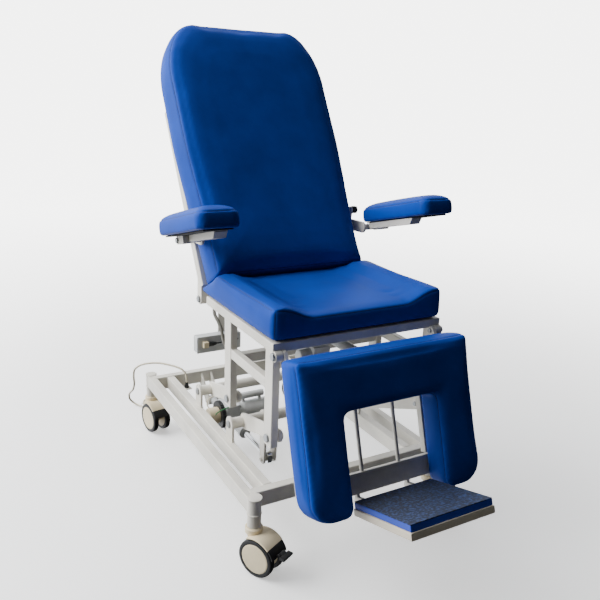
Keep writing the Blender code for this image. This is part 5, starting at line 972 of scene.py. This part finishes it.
    def execute(self, context):
        sizes = context.scene.chair_sizes
        self.frame(sizes)
        self.pins()
        piece("seat_base_board", [bar((-0.264, 0.264), (-0.284, 0.198), (0.6833, 0.6893), 0.002)], "board",
              "seat", ("seat_board",))
        self.drive("back_actuator", *BACK_DRIVE, 0.100, -0.120, -1)
        self.drive("leg_actuator", *LEG_DRIVE, -0.195, 0.045, 1)
        for name, (x, z), pin, slot, reach in (("back", BACK_DRIVE, BACK_PIN, 0.0078, 0.020),
                                               ("leg", LEG_DRIVE, LEG_PIN, 0.0098, -0.0603)):
            piece(name + "_rod_chromed", eye_rod(x, (pin[0], z), slot, ROD_EYE, reach, ROD_RADIUS), "chrome",
                  name + "_rod", (name + "_rod",))
        self.controls()
        return {"FINISHED"}


# The backrest's frame and the armrests' fittings.

def back_outline(steps=40, corner=24):
    """The back pad's outline as (x, z): waisted at the foot, widest at the shoulder, an ellipse on top."""
    wide, tall = 0.125, 0.215
    shoulder = BACK_LENGTH - tall
    along = np.linspace(0, shoulder, steps, endpoint=False)
    share = np.clip(along / (0.75 * shoulder), 0, 1)
    half = BACK_WAIST + (BACK_SHOULDER - BACK_WAIST) * share ** 2 * (3 - 2 * share)
    angle = np.linspace(0, math.pi / 2, corner)
    right = np.concatenate([np.stack([half, along], -1),
                            np.stack([BACK_SHOULDER - wide * (1 - np.cos(angle)),
                                      shoulder + tall * np.sin(angle)], -1)])
    inner = np.linspace(BACK_SHOULDER - wide, -(BACK_SHOULDER - wide), 14)[1:-1]
    foot = np.linspace(-BACK_WAIST, BACK_WAIST, 24)[1:-1]
    return np.concatenate([right, np.stack([inner, np.full(12, BACK_LENGTH)], -1), right[::-1] * (-1, 1),
                           np.stack([foot, np.zeros(22)], -1)])


class CHAIR_OT_back_frame(bpy.types.Operator):
    """Builds the backrest's frame and board and the brackets, beams, knobs and bolts of the armrests"""

    bl_idname = "chair.back_frame"
    bl_label = "Back frame"

    def execute(self, context):
        sizes = context.scene.chair_sizes
        rear = (BACK_THICK + GAP + 0.0115 + GAP, BACK_THICK + 0.0121 + 0.035)
        middle = sum(rear) / 2
        hinge = local(BACK_TILT, BACK_AT, *BACK_HINGE)
        pin = local(BACK_TILT, BACK_AT, *BACK_PIN)
        tubes, beads = [], []
        for side, _ in SIDES:
            tubes.append(bar(mirrored(side, SIDE_IN, SEAT_HALF), rear, (0.0, 0.620), sizes.corner))
            tubes.append(plate(link((middle, 0.030), 0.0165, hinge, 0.0175, 20),
                               mirrored(side, SIDE_IN + 0.001, SEAT_HALF - 0.001), sizes.edge))
            lever = BACK_DRIVE[0] + side * ROD_LEVER
            tubes.append(plate(link((middle, 0.045), 0.014, pin, 0.014, 20),
                               (lever - LEVER_HALF, lever + LEVER_HALF), sizes.edge))
            for low in BACK_BARS:
                beads.append(weld_ring((side * 0.2548, middle, low + 0.015), (1, 0, 0), 0.0165, 0.015,
                                       sizes.bead * 0.8))
        for low in BACK_BARS:
            tubes.append(bar((-CROSS_HALF, CROSS_HALF), (rear[0] + 0.001, rear[1] - 0.001),
                             (low, low + CROSS_TALL), sizes.corner))
        tubes.append(rod((-0.069, *pin), (-0.031, *pin), PIN_RADIUS))
        piece("backrest_frame_tubes", map(in_back, tubes), "paint", "backrest", ("backrest_frame",))
        piece("backrest_frame_welds", map(in_back, beads), "paint", "backrest")
        outline = drawn_in(back_outline(), 0.016)
        rows = [(0.1083, 0.002), (0.1088, 0.0), (0.1190, 0.0), (0.1197, 0.002)]
        board = [np.column_stack([flat[:, 0], np.full(len(flat), y), flat[:, 1]])
                 for y, flat in ((y, drawn_in(outline, inset)) for y, inset in rows)]
        piece("backrest_rear_board", [in_back(skin(board))], "board", "backrest", ("backrest_board",))
        for side, word in SIDES:
            self.armrest(side, word, sizes)
        return {"FINISHED"}

    def armrest(self, side, word, sizes):
        """A bracket of two links, a six-lobed knob, the pivot bolt, a beam and the board under the pad."""
        out = (side, 0, 0)
        rear = (0.3108, 0.864)
        bracket = [plate(link(rear, 0.020, ARM_AT, 0.019, 20), mirrored(side, 0.294, 0.302), sizes.edge),
                   plate(link((0.243, 0.918), 0.012, (0.255, 0.870), 0.0155, 20),
                         mirrored(side, 0.295, 0.301), sizes.edge),
                   rod((side * 0.2803, *rear), (side * 0.297, *rear), 0.015),
                   rod((side * 0.299, *ARM_AT), (side * 0.3485, *ARM_AT), 0.0105),
                   hexagon_head((side * 0.3015, *rear), out, 0.008, 0.005)]
        piece("arm_bracket_plate_" + word, bracket, "paint", "backrest", ("arm_bracket_" + word,))
        lobes = [(0, 0.010), (0.002, 0.0122), (0.004, 0.0128), (0.018, 0.0128), (0.0205, 0.0118),
                 (0.022, 0.009)]
        knob = turned(lobes, (side * 0.3013, 0.243, 0.918), out, 64, lambda a: 1 + 0.075 * np.cos(6 * a))
        piece("arm_knob_grip_" + word, [knob], "black", "backrest", ("arm_knob_" + word,))
        bolt = [turned([(0, 0.0095), (0.0012, 0.0095), (0.0014, 0.009)], (side * 0.3743, *ARM_AT), out),
                hexagon_head((side * 0.3757, *ARM_AT), out, 0.0085, 0.004),
                rod((side * 0.340, *ARM_AT), (side * 0.377, *ARM_AT), 0.005)]
        piece("arm_bolt_head_" + word, bolt, "zinc", "backrest", ("arm_bolt_" + word,))
        half = 0.0125
        angle = np.linspace(-math.pi / 2, math.pi / 2, 24)
        block = np.concatenate([np.stack([0.001 + half * np.cos(angle), half * np.sin(angle)], -1),
                                [(-0.048, half), (-0.050, half - 0.002), (-0.050, -half + 0.002),
                                 (-0.048, -half)]])
        hole = 0.0056 * block / np.linalg.norm(block, axis=1, keepdims=True)
        bar_side = np.array([(-0.018, -0.0075), (-0.018, half), (-0.13, half), (-0.255, half),
                             (-0.255, half - 0.004), (-0.241, -0.0075)])
        beam = [in_arm(ring_plate(block, hole, mirrored(side, 0.349, 0.374))),
                in_arm(plate(bar_side, mirrored(side, 0.316, 0.356), sizes.edge))]
        shelf = [in_arm(bar(mirrored(side, 0.322, 0.408), (-0.312, 0.0055), (0.0117, 0.0158), 0.0015))]
        piece("arm_pad_board_" + word, shelf, "board", word + "_arm")
        piece("arm_beam_tube_" + word, beam, "paint", word + "_arm", ("arm_beam_" + word,))


# The leg rest's frame, the foot rest and its plate.

class CHAIR_OT_leg_frame(bpy.types.Operator):
    """Builds the leg rest's frame, the sliding foot rest, the folding tray and its mat"""

    bl_idname = "chair.leg_frame"
    bl_label = "Leg frame"

    def execute(self, context):
        sizes = context.scene.chair_sizes
        rear = (LEG_THICK + GAP, LEG_THICK + 0.0253)
        middle = sum(rear) / 2
        hinge = local(LEG_TILT, LEG_AT, *LEG_HINGE)
        pin = local(LEG_TILT, LEG_AT, *LEG_PIN)
        thin = (rear[0] + 0.001, rear[1] - 0.001)
        tubes = []
        for side, _ in SIDES:
            tubes.append(bar(mirrored(side, 0.2445, 0.2675), rear, (-0.362, -0.045), sizes.corner))
            tubes.append(bar(mirrored(side, 0.153, 0.168), thin, (-0.330, -0.120), sizes.corner))
            tubes.append(plate(link(hinge, 0.015, (middle, -0.062), 0.0125, 20),
                               mirrored(side, 0.2435, 0.2545), sizes.edge))
            lever = LEG_DRIVE[0] + side * ROD_LEVER
            tubes.append(plate(link((middle, -0.063), 0.012, pin, 0.014, 20),
                               (lever - LEVER_HALF, lever + LEVER_HALF), sizes.edge))
        for low in (-0.078, -0.145):
            tubes.append(bar((-0.2535, 0.2535), thin, (low, low + CROSS_TALL), sizes.corner))
        tubes.append(rod((0.034, *pin), (0.072, *pin), PIN_RADIUS))
        piece("legrest_frame_tubes", map(in_leg, tubes), "paint", "legrest", ("legrest_frame",))
        slider = [bar((-0.200, 0.200), (0.0893, 0.1073), (-0.393, -0.335), sizes.corner)]
        for side, _ in SIDES:
            slider.append(rod((side * 0.062, 0.0978, -0.347), (side * 0.062, 0.0978, -0.047), 0.0055))
            slider.append(plate(link((0.062, FOOT_TOP), 0.0105, (0.0993, FOOT_TOP), 0.010, 20),
                                mirrored(side, 0.080, 0.090), sizes.edge))
            slider.append(bar(mirrored(side, 0.0802, 0.0898), (0.0905, 0.1061), (-0.412, -0.360), 0.0015))
        piece("footrest_slide", map(in_leg, slider), "paint", "footrest", ("footrest_slider",))
        hinge_pin = [rod((-0.092, 0.062, FOOT_TOP), (0.092, 0.062, FOOT_TOP), 0.0035)]
        piece("footplate_hinge_rod", map(in_leg, hinge_pin), "zinc", "footrest", ("footplate_hinge_pin",))
        tray = [bar((-FOOT_HALF, FOOT_HALF), (FOOT_FRONT, FOOT_REAR), (FOOT_TOP - 0.020, FOOT_TOP), 0.003,
                    along=1)]
        for side, _ in SIDES:
            tray.append(rod((side * 0.040, 0.062, FOOT_TOP), (side * 0.0795, 0.062, FOOT_TOP), 0.0085))
            tray.append(bar(mirrored(side, 0.0402, 0.0793), (0.036, 0.062),
                            (FOOT_TOP - 0.0085, FOOT_TOP - 0.001), 0.001))
        piece("footplate_tray_pressed", map(in_leg, tray), "tray", "footplate", ("footplate_tray",))
        low, high, split = FOOT_TOP + GAP, FOOT_TOP + 0.0193, FOOT_TOP + 0.0168
        rim = (-FOOT_HALF + 0.003, FOOT_HALF - 0.003), (FOOT_FRONT + 0.003, FOOT_REAR - 0.003)
        piece("foot_mat_foam", [in_leg(bar(*rim, (low, split), 0.002, along=1))], "mat_edge", "footplate",
              ("foot_mat",))
        piece("foot_mat_tread", [in_leg(bar(*rim, (split - 0.0001, high), 0.0012, along=1))], "mat_top",
              "footplate")
        return {"FINISHED"}


# Casters.

def turned_about(solid, x, y, heading):
    """A solid built about a swivel axis, its wheels trailing along +Y, turned by its heading and placed."""
    points, faces = solid
    angle = math.radians(180.0 + heading)
    cos, sin = math.cos(angle), math.sin(angle)
    return np.stack([x + points[:, 0] * cos - points[:, 1] * sin, y + points[:, 0] * sin + points[:, 1] * cos,
                     points[:, 2]], -1), faces


def hoop(outline, origin, axis, steps=72):
    """A turned ring: a closed outline of (reach, radius) carried once round an axis."""
    axis, u, v = basis(axis)
    reach, radius = np.array(outline, float).T
    angle = np.arange(steps) * math.tau / steps
    spoke = u * np.cos(angle)[:, None] + v * np.sin(angle)[:, None]
    return skin(np.array(origin) + axis * reach[None, :, None] + spoke[:, None] * radius[None, :, None],
                loop=True)


def hood(hub, inner, outer, low, high, half):
    """A curved hood: a rounded section carried along an arc about the hub from low to high degrees."""
    angle = np.radians(np.linspace(low, high, 40))
    flat = section((outer - inner) / 2, half, 0.0018, 4)
    reach = (inner + outer) / 2 + flat[:, 0]
    rings = np.stack([np.broadcast_to(flat[:, 1], (40, len(flat))), hub[0] + np.cos(angle)[:, None] * reach,
                      hub[1] + np.sin(angle)[:, None] * reach], -1)
    return skin(rings)


class CHAIR_OT_casters(bpy.types.Operator):
    """Builds the four twin-wheel casters with their hoods, discs, tyres and the front brake pedals"""

    bl_idname = "chair.casters"
    bl_label = "Casters"

    def execute(self, context):
        hub = (TRAIL, WHEEL_RADIUS)
        for word, x, y, heading in CASTERS:
            def place(solids):
                return [turned_about(solid, x, y, heading) for solid in solids]

            collar = [(0, 0.0245), (0.0015, 0.026), (0.016, 0.026), (0.0185, 0.0235)]
            solids = [turned(collar, (0, 0, 0.118), (0, 0, 1), 48),
                      rod((0, 0, 0.120), (0, 0, 0.160), 0.006),
                      plate(link((0.004, 0.112), 0.020, hub, 0.020, 24), (-0.0135, 0.0135), 0.002),
                      hood(hub, 0.0605, 0.0655, 46.0, 118.0, 0.036),
                      hood(hub, 0.030, 0.0625, 48.0, 112.0, 0.0125)]
            shoe = [hood(hub, 0.0606, 0.0652, 18.0, 46.5, 0.0345),
                    hood(hub, 0.030, 0.0625, 24.0, 50.0, 0.0125)]
            at = (hub[0] + PEDAL_AT[0], hub[1] + PEDAL_AT[1])
            if word.startswith("front"):
                share = 0.063 / math.hypot(*PEDAL_AT)
                foot = (hub[0] + PEDAL_AT[0] * share, hub[1] + PEDAL_AT[1] * share)
                for side, _ in SIDES:
                    shoe.append(plate(link(foot, 0.0022, at, 0.0055, 16), mirrored(side, 0.0105, 0.0145),
                                      0.0005))
                shoe.append(rod((-0.0135, *at), (0.0135, *at), 0.003))
            piece("hood_front_" + word, place(shoe), "black", "caster_" + word)
            piece("caster_hood_" + word, place(solids), "beige", "caster_" + word,
                  ("caster_housing_" + word,))
            tyres, discs = [], []
            for side, _ in SIDES:
                tread = [(0.015, 0.0450), (0.015, 0.0535), (0.0165, 0.0562), (0.0195, 0.0573),
                         (0.025, 0.0575), (0.0305, 0.0573), (0.0335, 0.0562), (0.0350, 0.0535),
                         (0.0352, 0.0470), (0.0346, 0.0450)]
                face = [(0.0160, 0.0449), (0.0336, 0.0449), (0.0344, 0.0442), (0.0350, 0.0430),
                        (0.0353, 0.0400), (0.0356, 0.0250), (0.0357, 0.0100)]
                tyres.append(hoop(tread, (0, *hub), (side, 0, 0)))
                discs.append(turned(face, (0, *hub), (side, 0, 0), 64))
            discs.append(rod((-0.0349, *hub), (0.0349, *hub), 0.0049))
            piece("caster_tyres_" + word, place(tyres), "rubber", "wheels_" + word,
                  ("caster_wheels_" + word,))
            piece("caster_discs_" + word, place(discs), "beige", "wheels_" + word)
            if word.startswith("front"):
                start = at[0] + 0.006
                tread = [bar((-0.022, 0.022), (start, start + 0.018), (at[1] - 0.004, at[1] + 0.0034),
                             0.0025)]
                for rib in start + np.array([0.004, 0.0075, 0.011, 0.0145]):
                    tread.append(bar((-0.018, 0.018), (rib, rib + 0.0016), (at[1] + 0.003, at[1] + 0.004),
                                     0.0004))
                ring = link(at, 0.006, (start + 0.006, at[1]), 0.0027, 16)
                angle = np.linspace(0, math.tau, 32, endpoint=False)
                bore = np.array(at) + 0.0035 * np.stack([np.cos(angle), np.sin(angle)], -1)
                tread.append(ring_plate(ring, bore, (-0.0095, 0.0095)))
                piece("brake_pedal_tread_" + word, place(tread), "black", "pedal_" + word,
                      ("brake_pedal_" + word,))
        return {"FINISHED"}


# Upholstery.

def cover(rings):
    """A closed cover through rings (n, m, 3), its end faces single polygons, as a bare mesh."""
    rings = np.asarray(rings, float)
    rows, count = rings.shape[:2]
    faces = quads_of(rows, count).tolist()
    faces += [list(range(count))[::-1], list(range((rows - 1) * count, rows * count))]
    mesh = bpy.data.meshes.new("cover")
    mesh.from_pydata((rings.reshape(-1, 3) + (0.0, SHIFT_Y, 0.0)).tolist(), [], faces)
    filled = bmesh.new()
    filled.from_mesh(mesh)
    bmesh.ops.recalc_face_normals(filled, faces=filled.faces)
    filled.to_mesh(mesh)
    filled.free()
    return mesh


def coordinates(mesh, attribute="co"):
    """The points of a mesh, or their normals, as an array."""
    values = np.empty(len(mesh.vertices) * 3)
    mesh.vertices.foreach_get(attribute, values)
    return values.reshape(-1, 3)


def evaluated(holder):
    """The holder's mesh with its modifiers applied."""
    graph = bpy.context.evaluated_depsgraph_get()
    return bpy.data.meshes.new_from_object(holder.evaluated_get(graph), depsgraph=graph)


def remeshed(holder, voxel):
    """Gives the holder even cells of one size."""
    cells = holder.modifiers.new("cells", "REMESH")
    cells.mode, cells.voxel_size = "VOXEL", voxel
    fine = evaluated(holder)
    holder.modifiers.clear()
    holder.data = fine


def eased(mesh, moved, times):
    """The points' moves, each made the mean of its neighbours' a few times, to take out small creases."""
    ends = np.empty(len(mesh.edges) * 2, np.int32)
    mesh.edges.foreach_get("vertices", ends)
    one, two = ends.reshape(-1, 2).T
    count = len(mesh.vertices)
    around = np.bincount(one, minlength=count) + np.bincount(two, minlength=count)
    for _ in range(times):
        total = [np.bincount(one, moved[two, k], count) + np.bincount(two, moved[one, k], count)
                 for k in range(3)]
        moved = np.stack([axis / around for axis in total], -1)
    return moved


def filled_out(holder, held, cap, sizes):
    """Presses air into the cover for a few frames and gives how far each point moved, eased to a cap.

    The move d becomes d * cap * tanh(|d| / cap) / |d|, so no point goes further than cap.
    """
    group = holder.vertex_groups.new(name="held")
    group.add(np.flatnonzero(held).tolist(), 1.0, "REPLACE")
    air = holder.modifiers.new("air", "CLOTH")
    cloth = air.settings
    cloth.use_pressure, cloth.uniform_pressure_force = True, sizes.pressure
    cloth.effector_weights.gravity = 0.0
    cloth.mass, cloth.quality = 0.3, 5
    cloth.tension_stiffness = cloth.compression_stiffness = 22.0
    cloth.bending_stiffness = 4.0
    cloth.vertex_group_mass = group.name
    air.point_cache.frame_start, air.point_cache.frame_end = 1, sizes.frames
    for step in range(1, sizes.frames + 1):
        bpy.context.scene.frame_set(step)
    moved = coordinates(evaluated(holder)) - coordinates(holder.data)
    moved = eased(holder.data, moved, sizes.ease)
    holder.modifiers.clear()
    bpy.context.scene.frame_set(1)
    far = np.linalg.norm(moved, axis=1, keepdims=True) + 1e-9
    return moved * cap * np.tanh(far / cap) / far


def near(points, path):
    """Each point's distance from the nearest point of a path, in blocks."""
    return np.concatenate([np.sqrt(((block[:, None] - path[None]) ** 2).sum(-1).min(1))
                           for block in np.array_split(points, 60)])


def onto(mesh, path, closed):
    """A path laid on a mesh: nearest points, then a running mean along the path."""
    tree = bmesh.new()
    tree.from_mesh(mesh)
    surface = BVHTree.FromBMesh(tree)
    tree.free()
    hits = [surface.find_nearest(Vector(p)) for p in path]
    spots = np.array([hit[0] for hit in hits])
    if closed:
        return sum(np.roll(spots, k, 0) for k in range(-3, 4)) / 7
    padded = np.pad(spots, ((3, 3), (0, 0)), mode="edge")
    return sum(padded[k:k + len(spots)] for k in range(7)) / 7


def cushion(name, rings, body, node, cap, held, seams, context):
    """An upholstered pad: remeshed, filled with air, subdivided once, drawn in along its seams, stitched."""
    sizes = context.scene.chair_sizes
    made = bpy.data.objects.new(name, cover(rings))
    context.scene.collection.objects.link(made)
    remeshed(made, sizes.voxel)
    points = coordinates(made.data)
    moved = filled_out(made, held(points - (0.0, SHIFT_Y, 0.0)), cap, sizes)
    made.data.vertices.foreach_set("co", (points + moved).ravel())
    made.data.update()
    smooth = made.modifiers.new("smooth", "SUBSURF")
    smooth.levels = smooth.render_levels = 1
    fine = evaluated(made)
    made.modifiers.clear()
    made.data = fine
    points, normals = coordinates(made.data), coordinates(made.data, "normal")
    drop = np.zeros(len(points))
    threads = []
    for path, closed in seams:
        line = onto(made.data, path + (0.0, SHIFT_Y, 0.0), closed)
        away = near(points, line)
        pulled = sizes.groove * np.exp(-(away / 0.0030) ** 2) + 0.0012 * np.exp(-(away / 0.012) ** 2)
        drop = np.maximum(drop, pulled)
        threads.append((line, closed))
    made.data.vertices.foreach_set("co", (points - normals * drop[:, None]).ravel())
    made.data.update()
    made.data.shade_smooth()
    made.data.materials.clear()
    made.data.materials.append(finishes(context)["vinyl"])
    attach(made, body)
    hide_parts(node)
    for k, (line, closed) in enumerate(threads):
        laid = onto(made.data, line, closed) - (0.0, SHIFT_Y, 0.0)
        piece(f"{name}_seam_{k}", [swept(laid, sizes.seam, 8, closed=closed)], "thread", body,
              weighted=False)
    return made


def evenly(path, spacing, closed=True):
    """A path at an even spacing."""
    path = np.concatenate([path, path[:1]]) if closed else np.asarray(path, float)
    reach = np.concatenate([[0], np.cumsum(np.linalg.norm(np.diff(path, axis=0), axis=1))])
    wanted = np.linspace(0, reach[-1], round(reach[-1] / spacing), endpoint=not closed)
    return np.stack([np.interp(wanted, reach, path[:, k]) for k in range(path.shape[1])], -1)


def rounded(corners, spacing=0.012, steps=8):
    """A closed outline through (x, y, radius) corners, each rounded, with points at an even spacing."""
    corners = np.array(corners, float)
    at, radius = corners[:, :2], corners[:, 2:]
    into = at - np.roll(at, 1, 0)
    away = np.roll(at, -1, 0) - at
    into /= np.linalg.norm(into, axis=1, keepdims=True)
    away /= np.linalg.norm(away, axis=1, keepdims=True)
    half = np.arccos(np.clip((-into * away).sum(1, keepdims=True), -1, 1)) / 2
    cut = radius / np.tan(half)
    start, end = (at - into * cut)[:, None], (at + away * cut)[:, None]
    t = np.linspace(0, 1, steps)[None, :, None]
    weight = 2 * t * (1 - t) * np.sin(half)[:, None]
    curve = ((1 - t) ** 2 * start + weight * at[:, None] + t ** 2 * end) / ((1 - t) ** 2 + weight + t ** 2)
    return evenly(curve.reshape(-1, 2), spacing)


def scaled_in(outline, inset):
    """An outline shrunk about the middle of its box, so that each side of the box comes in by inset."""
    low, high = outline.min(0), outline.max(0)
    middle, half = (low + high) / 2, (high - low) / 2
    return middle + (outline - middle) * (half - inset) / half


def saddle_top(spots):
    """Height of the seat's top at (x, y): a dish that steps up to both sides, sloping under the back."""
    share = np.clip((np.abs(spots[:, 0]) - 0.150) / 0.105, 0, 1)
    top = 0.743 + 0.034 * share ** 2 * (3 - 2 * share)
    return np.minimum(top, BACK_AT[1] - 0.004 - math.tan(BACK_TILT) * (spots[:, 1] - BACK_AT[0]))


class CHAIR_OT_cushions(bpy.types.Operator):
    """Fills and stitches the seat, back, leg rest and arm pads"""

    bl_idname = "chair.cushions"
    bl_label = "Cushions"

    foot, crown = 0.007, 0.008

    def seat(self, context):
        """A rounded oblong carried up to the saddle by shares of its height, drawn in towards the top."""
        bottom = 0.6896
        outline = rounded([(-0.282, -0.302, 0.012), (0.282, -0.302, 0.012), (0.282, 0.212, 0.020),
                           (-0.282, 0.212, 0.020)])
        profile = [(0.003, 0.0), (0.001, 0.05), (0.000, 0.20), (0.000, 0.55), (0.000, 0.80), (0.001, 0.92),
                   (0.004, 0.968), (0.011, 0.988), (0.030, 0.990), (0.06, 0.985), (0.10, 0.985),
                   (0.15, 0.985), (0.21, 0.985), (0.245, 0.985)]
        rings = []
        for inset, level in profile:
            flat = scaled_in(outline, inset)
            rings.append(np.column_stack([flat, bottom + (saddle_top(flat) - bottom) * level]))
        ring = scaled_in(evenly(outline, 0.004), 0.006)
        seams = [(np.column_stack([ring, bottom + (saddle_top(ring) - bottom) * 0.90]), True)]
        for x in (-0.272, 0.272):
            rise = np.linspace(bottom + 0.004, saddle_top(np.array([[x, -0.29]]))[0] - 0.008, 24)
            seams.append((np.stack([np.full(24, x), np.full(24, -0.293), rise], -1), False))
        cushion("seat_cushion_cover", rings, "seat", "seat_cushion", context.scene.chair_sizes.swell * 0.7,
                lambda p: p[:, 2] < bottom + 0.004, seams, context)

    def back(self, context):
        """The back's outline, longer at crown and foot, carried from the board to the face and drawn in."""
        outline = back_outline()
        high = outline[:, 1]
        outline[:, 1] += self.crown * high / BACK_LENGTH - self.foot * np.clip(1 - high / 0.25, 0, 1)
        thick = BACK_THICK
        profile = [(0.009, thick), (0.003, thick - 0.006), (0.000, thick - 0.016), (0.000, thick * 0.6),
                   (0.000, thick * 0.34), (0.002, thick * 0.17), (0.006, thick * 0.08),
                   (0.014, thick * 0.035), (0.034, 0.001), (0.070, -0.003), (0.12, -0.006), (0.18, -0.007),
                   (0.24, -0.007), (0.285, -0.007)]
        rings = []
        for inset, depth in profile:
            flat = scaled_in(outline, inset)
            rings.append(np.column_stack([flat[:, 0], np.full(len(flat), depth), flat[:, 1]]))
        line = scaled_in(evenly(outline, 0.004), 0.006)
        seam = np.column_stack([line[:, 0], np.full(len(line), 0.014), line[:, 1]])
        rings = [in_back((ring, None))[0] for ring in rings]
        cushion("backrest_cushion_cover", rings, "backrest", "backrest_cushion",
                context.scene.chair_sizes.swell,
                lambda p: local(BACK_TILT, BACK_AT, p[:, 1], p[:, 2])[0] > thick - 0.004,
                [(in_back((seam, None))[0], True)], context)

    def leg(self, context):
        """A rounded U, open at the foot, carried from the frame to the face and drawn in at both."""
        wide, high, low = LEG_HALF + 0.004, 0.005, -LEG_LENGTH - 0.010
        gap, notch = CUTOUT_HALF + 0.002, 0.001 - CUTOUT_TOP
        outline = rounded([(-wide, high, 0.012), (wide, high, 0.012), (wide, low, 0.066),
                           (gap, low, 0.030), (gap, notch, 0.016), (-gap, notch, 0.016), (-gap, low, 0.030),
                           (-wide, low, 0.066)], 0.008)
        thick = LEG_THICK
        profile = [(0.006, thick), (0.002, thick - 0.004), (0.000, thick - 0.012), (0.000, thick * 0.6),
                   (0.000, thick * 0.30), (0.001, thick * 0.15), (0.003, thick * 0.07),
                   (0.006, thick * 0.025), (0.011, 0.0)]
        rings = []
        for inset, depth in profile:
            flat = drawn_in(outline, inset)
            rings.append(np.column_stack([flat[:, 0], np.full(len(flat), depth), flat[:, 1]]))
        line = drawn_in(evenly(outline, 0.004), 0.004)
        seam = np.column_stack([line[:, 0], np.full(len(line), 0.013), line[:, 1]])
        rings = [in_leg((ring, None))[0] for ring in rings]
        cushion("legrest_cushion_cover", rings, "legrest", "legrest_cushion",
                context.scene.chair_sizes.swell * 0.7,
                lambda p: local(LEG_TILT, LEG_AT, p[:, 1], p[:, 2])[0] > thick - 0.004,
                [(in_leg((seam, None))[0], True)], context)

    def arm(self, side, word, context):
        """A rounded oblong carried up by shares of its rise and drawn in to a crowned top."""
        bottom, rise, front = 0.0163, 0.051, ARM_PAD_FRONT - 0.008
        low, high = mirrored(side, ARM_PAD_IN - 0.002, ARM_PAD_OUT + 0.005)
        outline = rounded([(low, front, 0.026), (high, front, 0.026), (high, ARM_PAD_REAR, 0.022),
                           (low, ARM_PAD_REAR, 0.022)], 0.006)
        profile = [(0.006, 0.0), (0.002, 0.08), (0.001, 0.30), (0.001, 0.60), (0.002, 0.82), (0.005, 0.93),
                   (0.010, 1.00), (0.018, 1.09), (0.030, 1.18), (0.044, 1.23), (0.055, 1.24)]
        rings = []
        for inset, level in profile:
            flat = scaled_in(outline, inset)
            rings.append(np.column_stack([flat, np.full(len(flat), bottom + rise * level)]))
        line = scaled_in(evenly(outline, 0.004), 0.005)
        seam = np.column_stack([line, np.full(len(line), bottom + rise * 0.90)])
        rings = [in_arm((ring, None))[0] for ring in rings]
        cushion("arm_pad_cover_" + word, rings, word + "_arm", "arm_pad_" + word,
                context.scene.chair_sizes.arm_swell,
                lambda p: local(ARM_TILT, ARM_AT, p[:, 1], p[:, 2])[1] < bottom + 0.004,
                [(in_arm((seam, None))[0], True)], context)

    def execute(self, context):
        self.seat(context)
        self.back(context)
        self.leg(context)
        for side, word in SIDES:
            self.arm(side, word, context)
        return {"FINISHED"}


class CHAIR_PT_sidebar(bpy.types.Panel):
    """Sizes, colours and steps of the chair's dressing"""

    bl_idname = "CHAIR_PT_sidebar"
    bl_label = "Dialysis chair"
    bl_space_type = "VIEW_3D"
    bl_region_type = "UI"
    bl_category = "Chair"

    def draw(self, context):
        for group in (context.scene.chair_sizes, context.scene.chair_colours):
            column = self.layout.column(align=True)
            for name in group.__annotations__:
                column.prop(group, name)
        for step in STEPS:
            self.layout.operator(step.bl_idname)


STEPS = (CHAIR_OT_stage, CHAIR_OT_mains_cord, CHAIR_OT_base_frame, CHAIR_OT_lift, CHAIR_OT_seat_frame,
         CHAIR_OT_back_frame, CHAIR_OT_leg_frame, CHAIR_OT_casters, CHAIR_OT_cushions)
CLASSES = (ChairSizes, ChairColours, *STEPS, CHAIR_PT_sidebar)


def register():
    """Registers the classes and hangs the sizes and colours on the scene."""
    for kind in CLASSES:
        bpy.utils.register_class(kind)
    bpy.types.Scene.chair_sizes = PointerProperty(type=ChairSizes)
    bpy.types.Scene.chair_colours = PointerProperty(type=ChairColours)


def unregister():
    """Takes the sizes, colours and classes away again."""
    del bpy.types.Scene.chair_colours
    del bpy.types.Scene.chair_sizes
    for kind in reversed(CLASSES):
        bpy.utils.unregister_class(kind)


def main():
    register()
    bpy.ops.chair.stage()
    bpy.ops.chair.mains_cord()
    bpy.ops.chair.base_frame()
    bpy.ops.chair.lift()
    bpy.ops.chair.seat_frame()
    bpy.ops.chair.back_frame()
    bpy.ops.chair.leg_frame()
    bpy.ops.chair.casters()
    bpy.ops.chair.cushions()


if __name__ == "__main__":
    main()
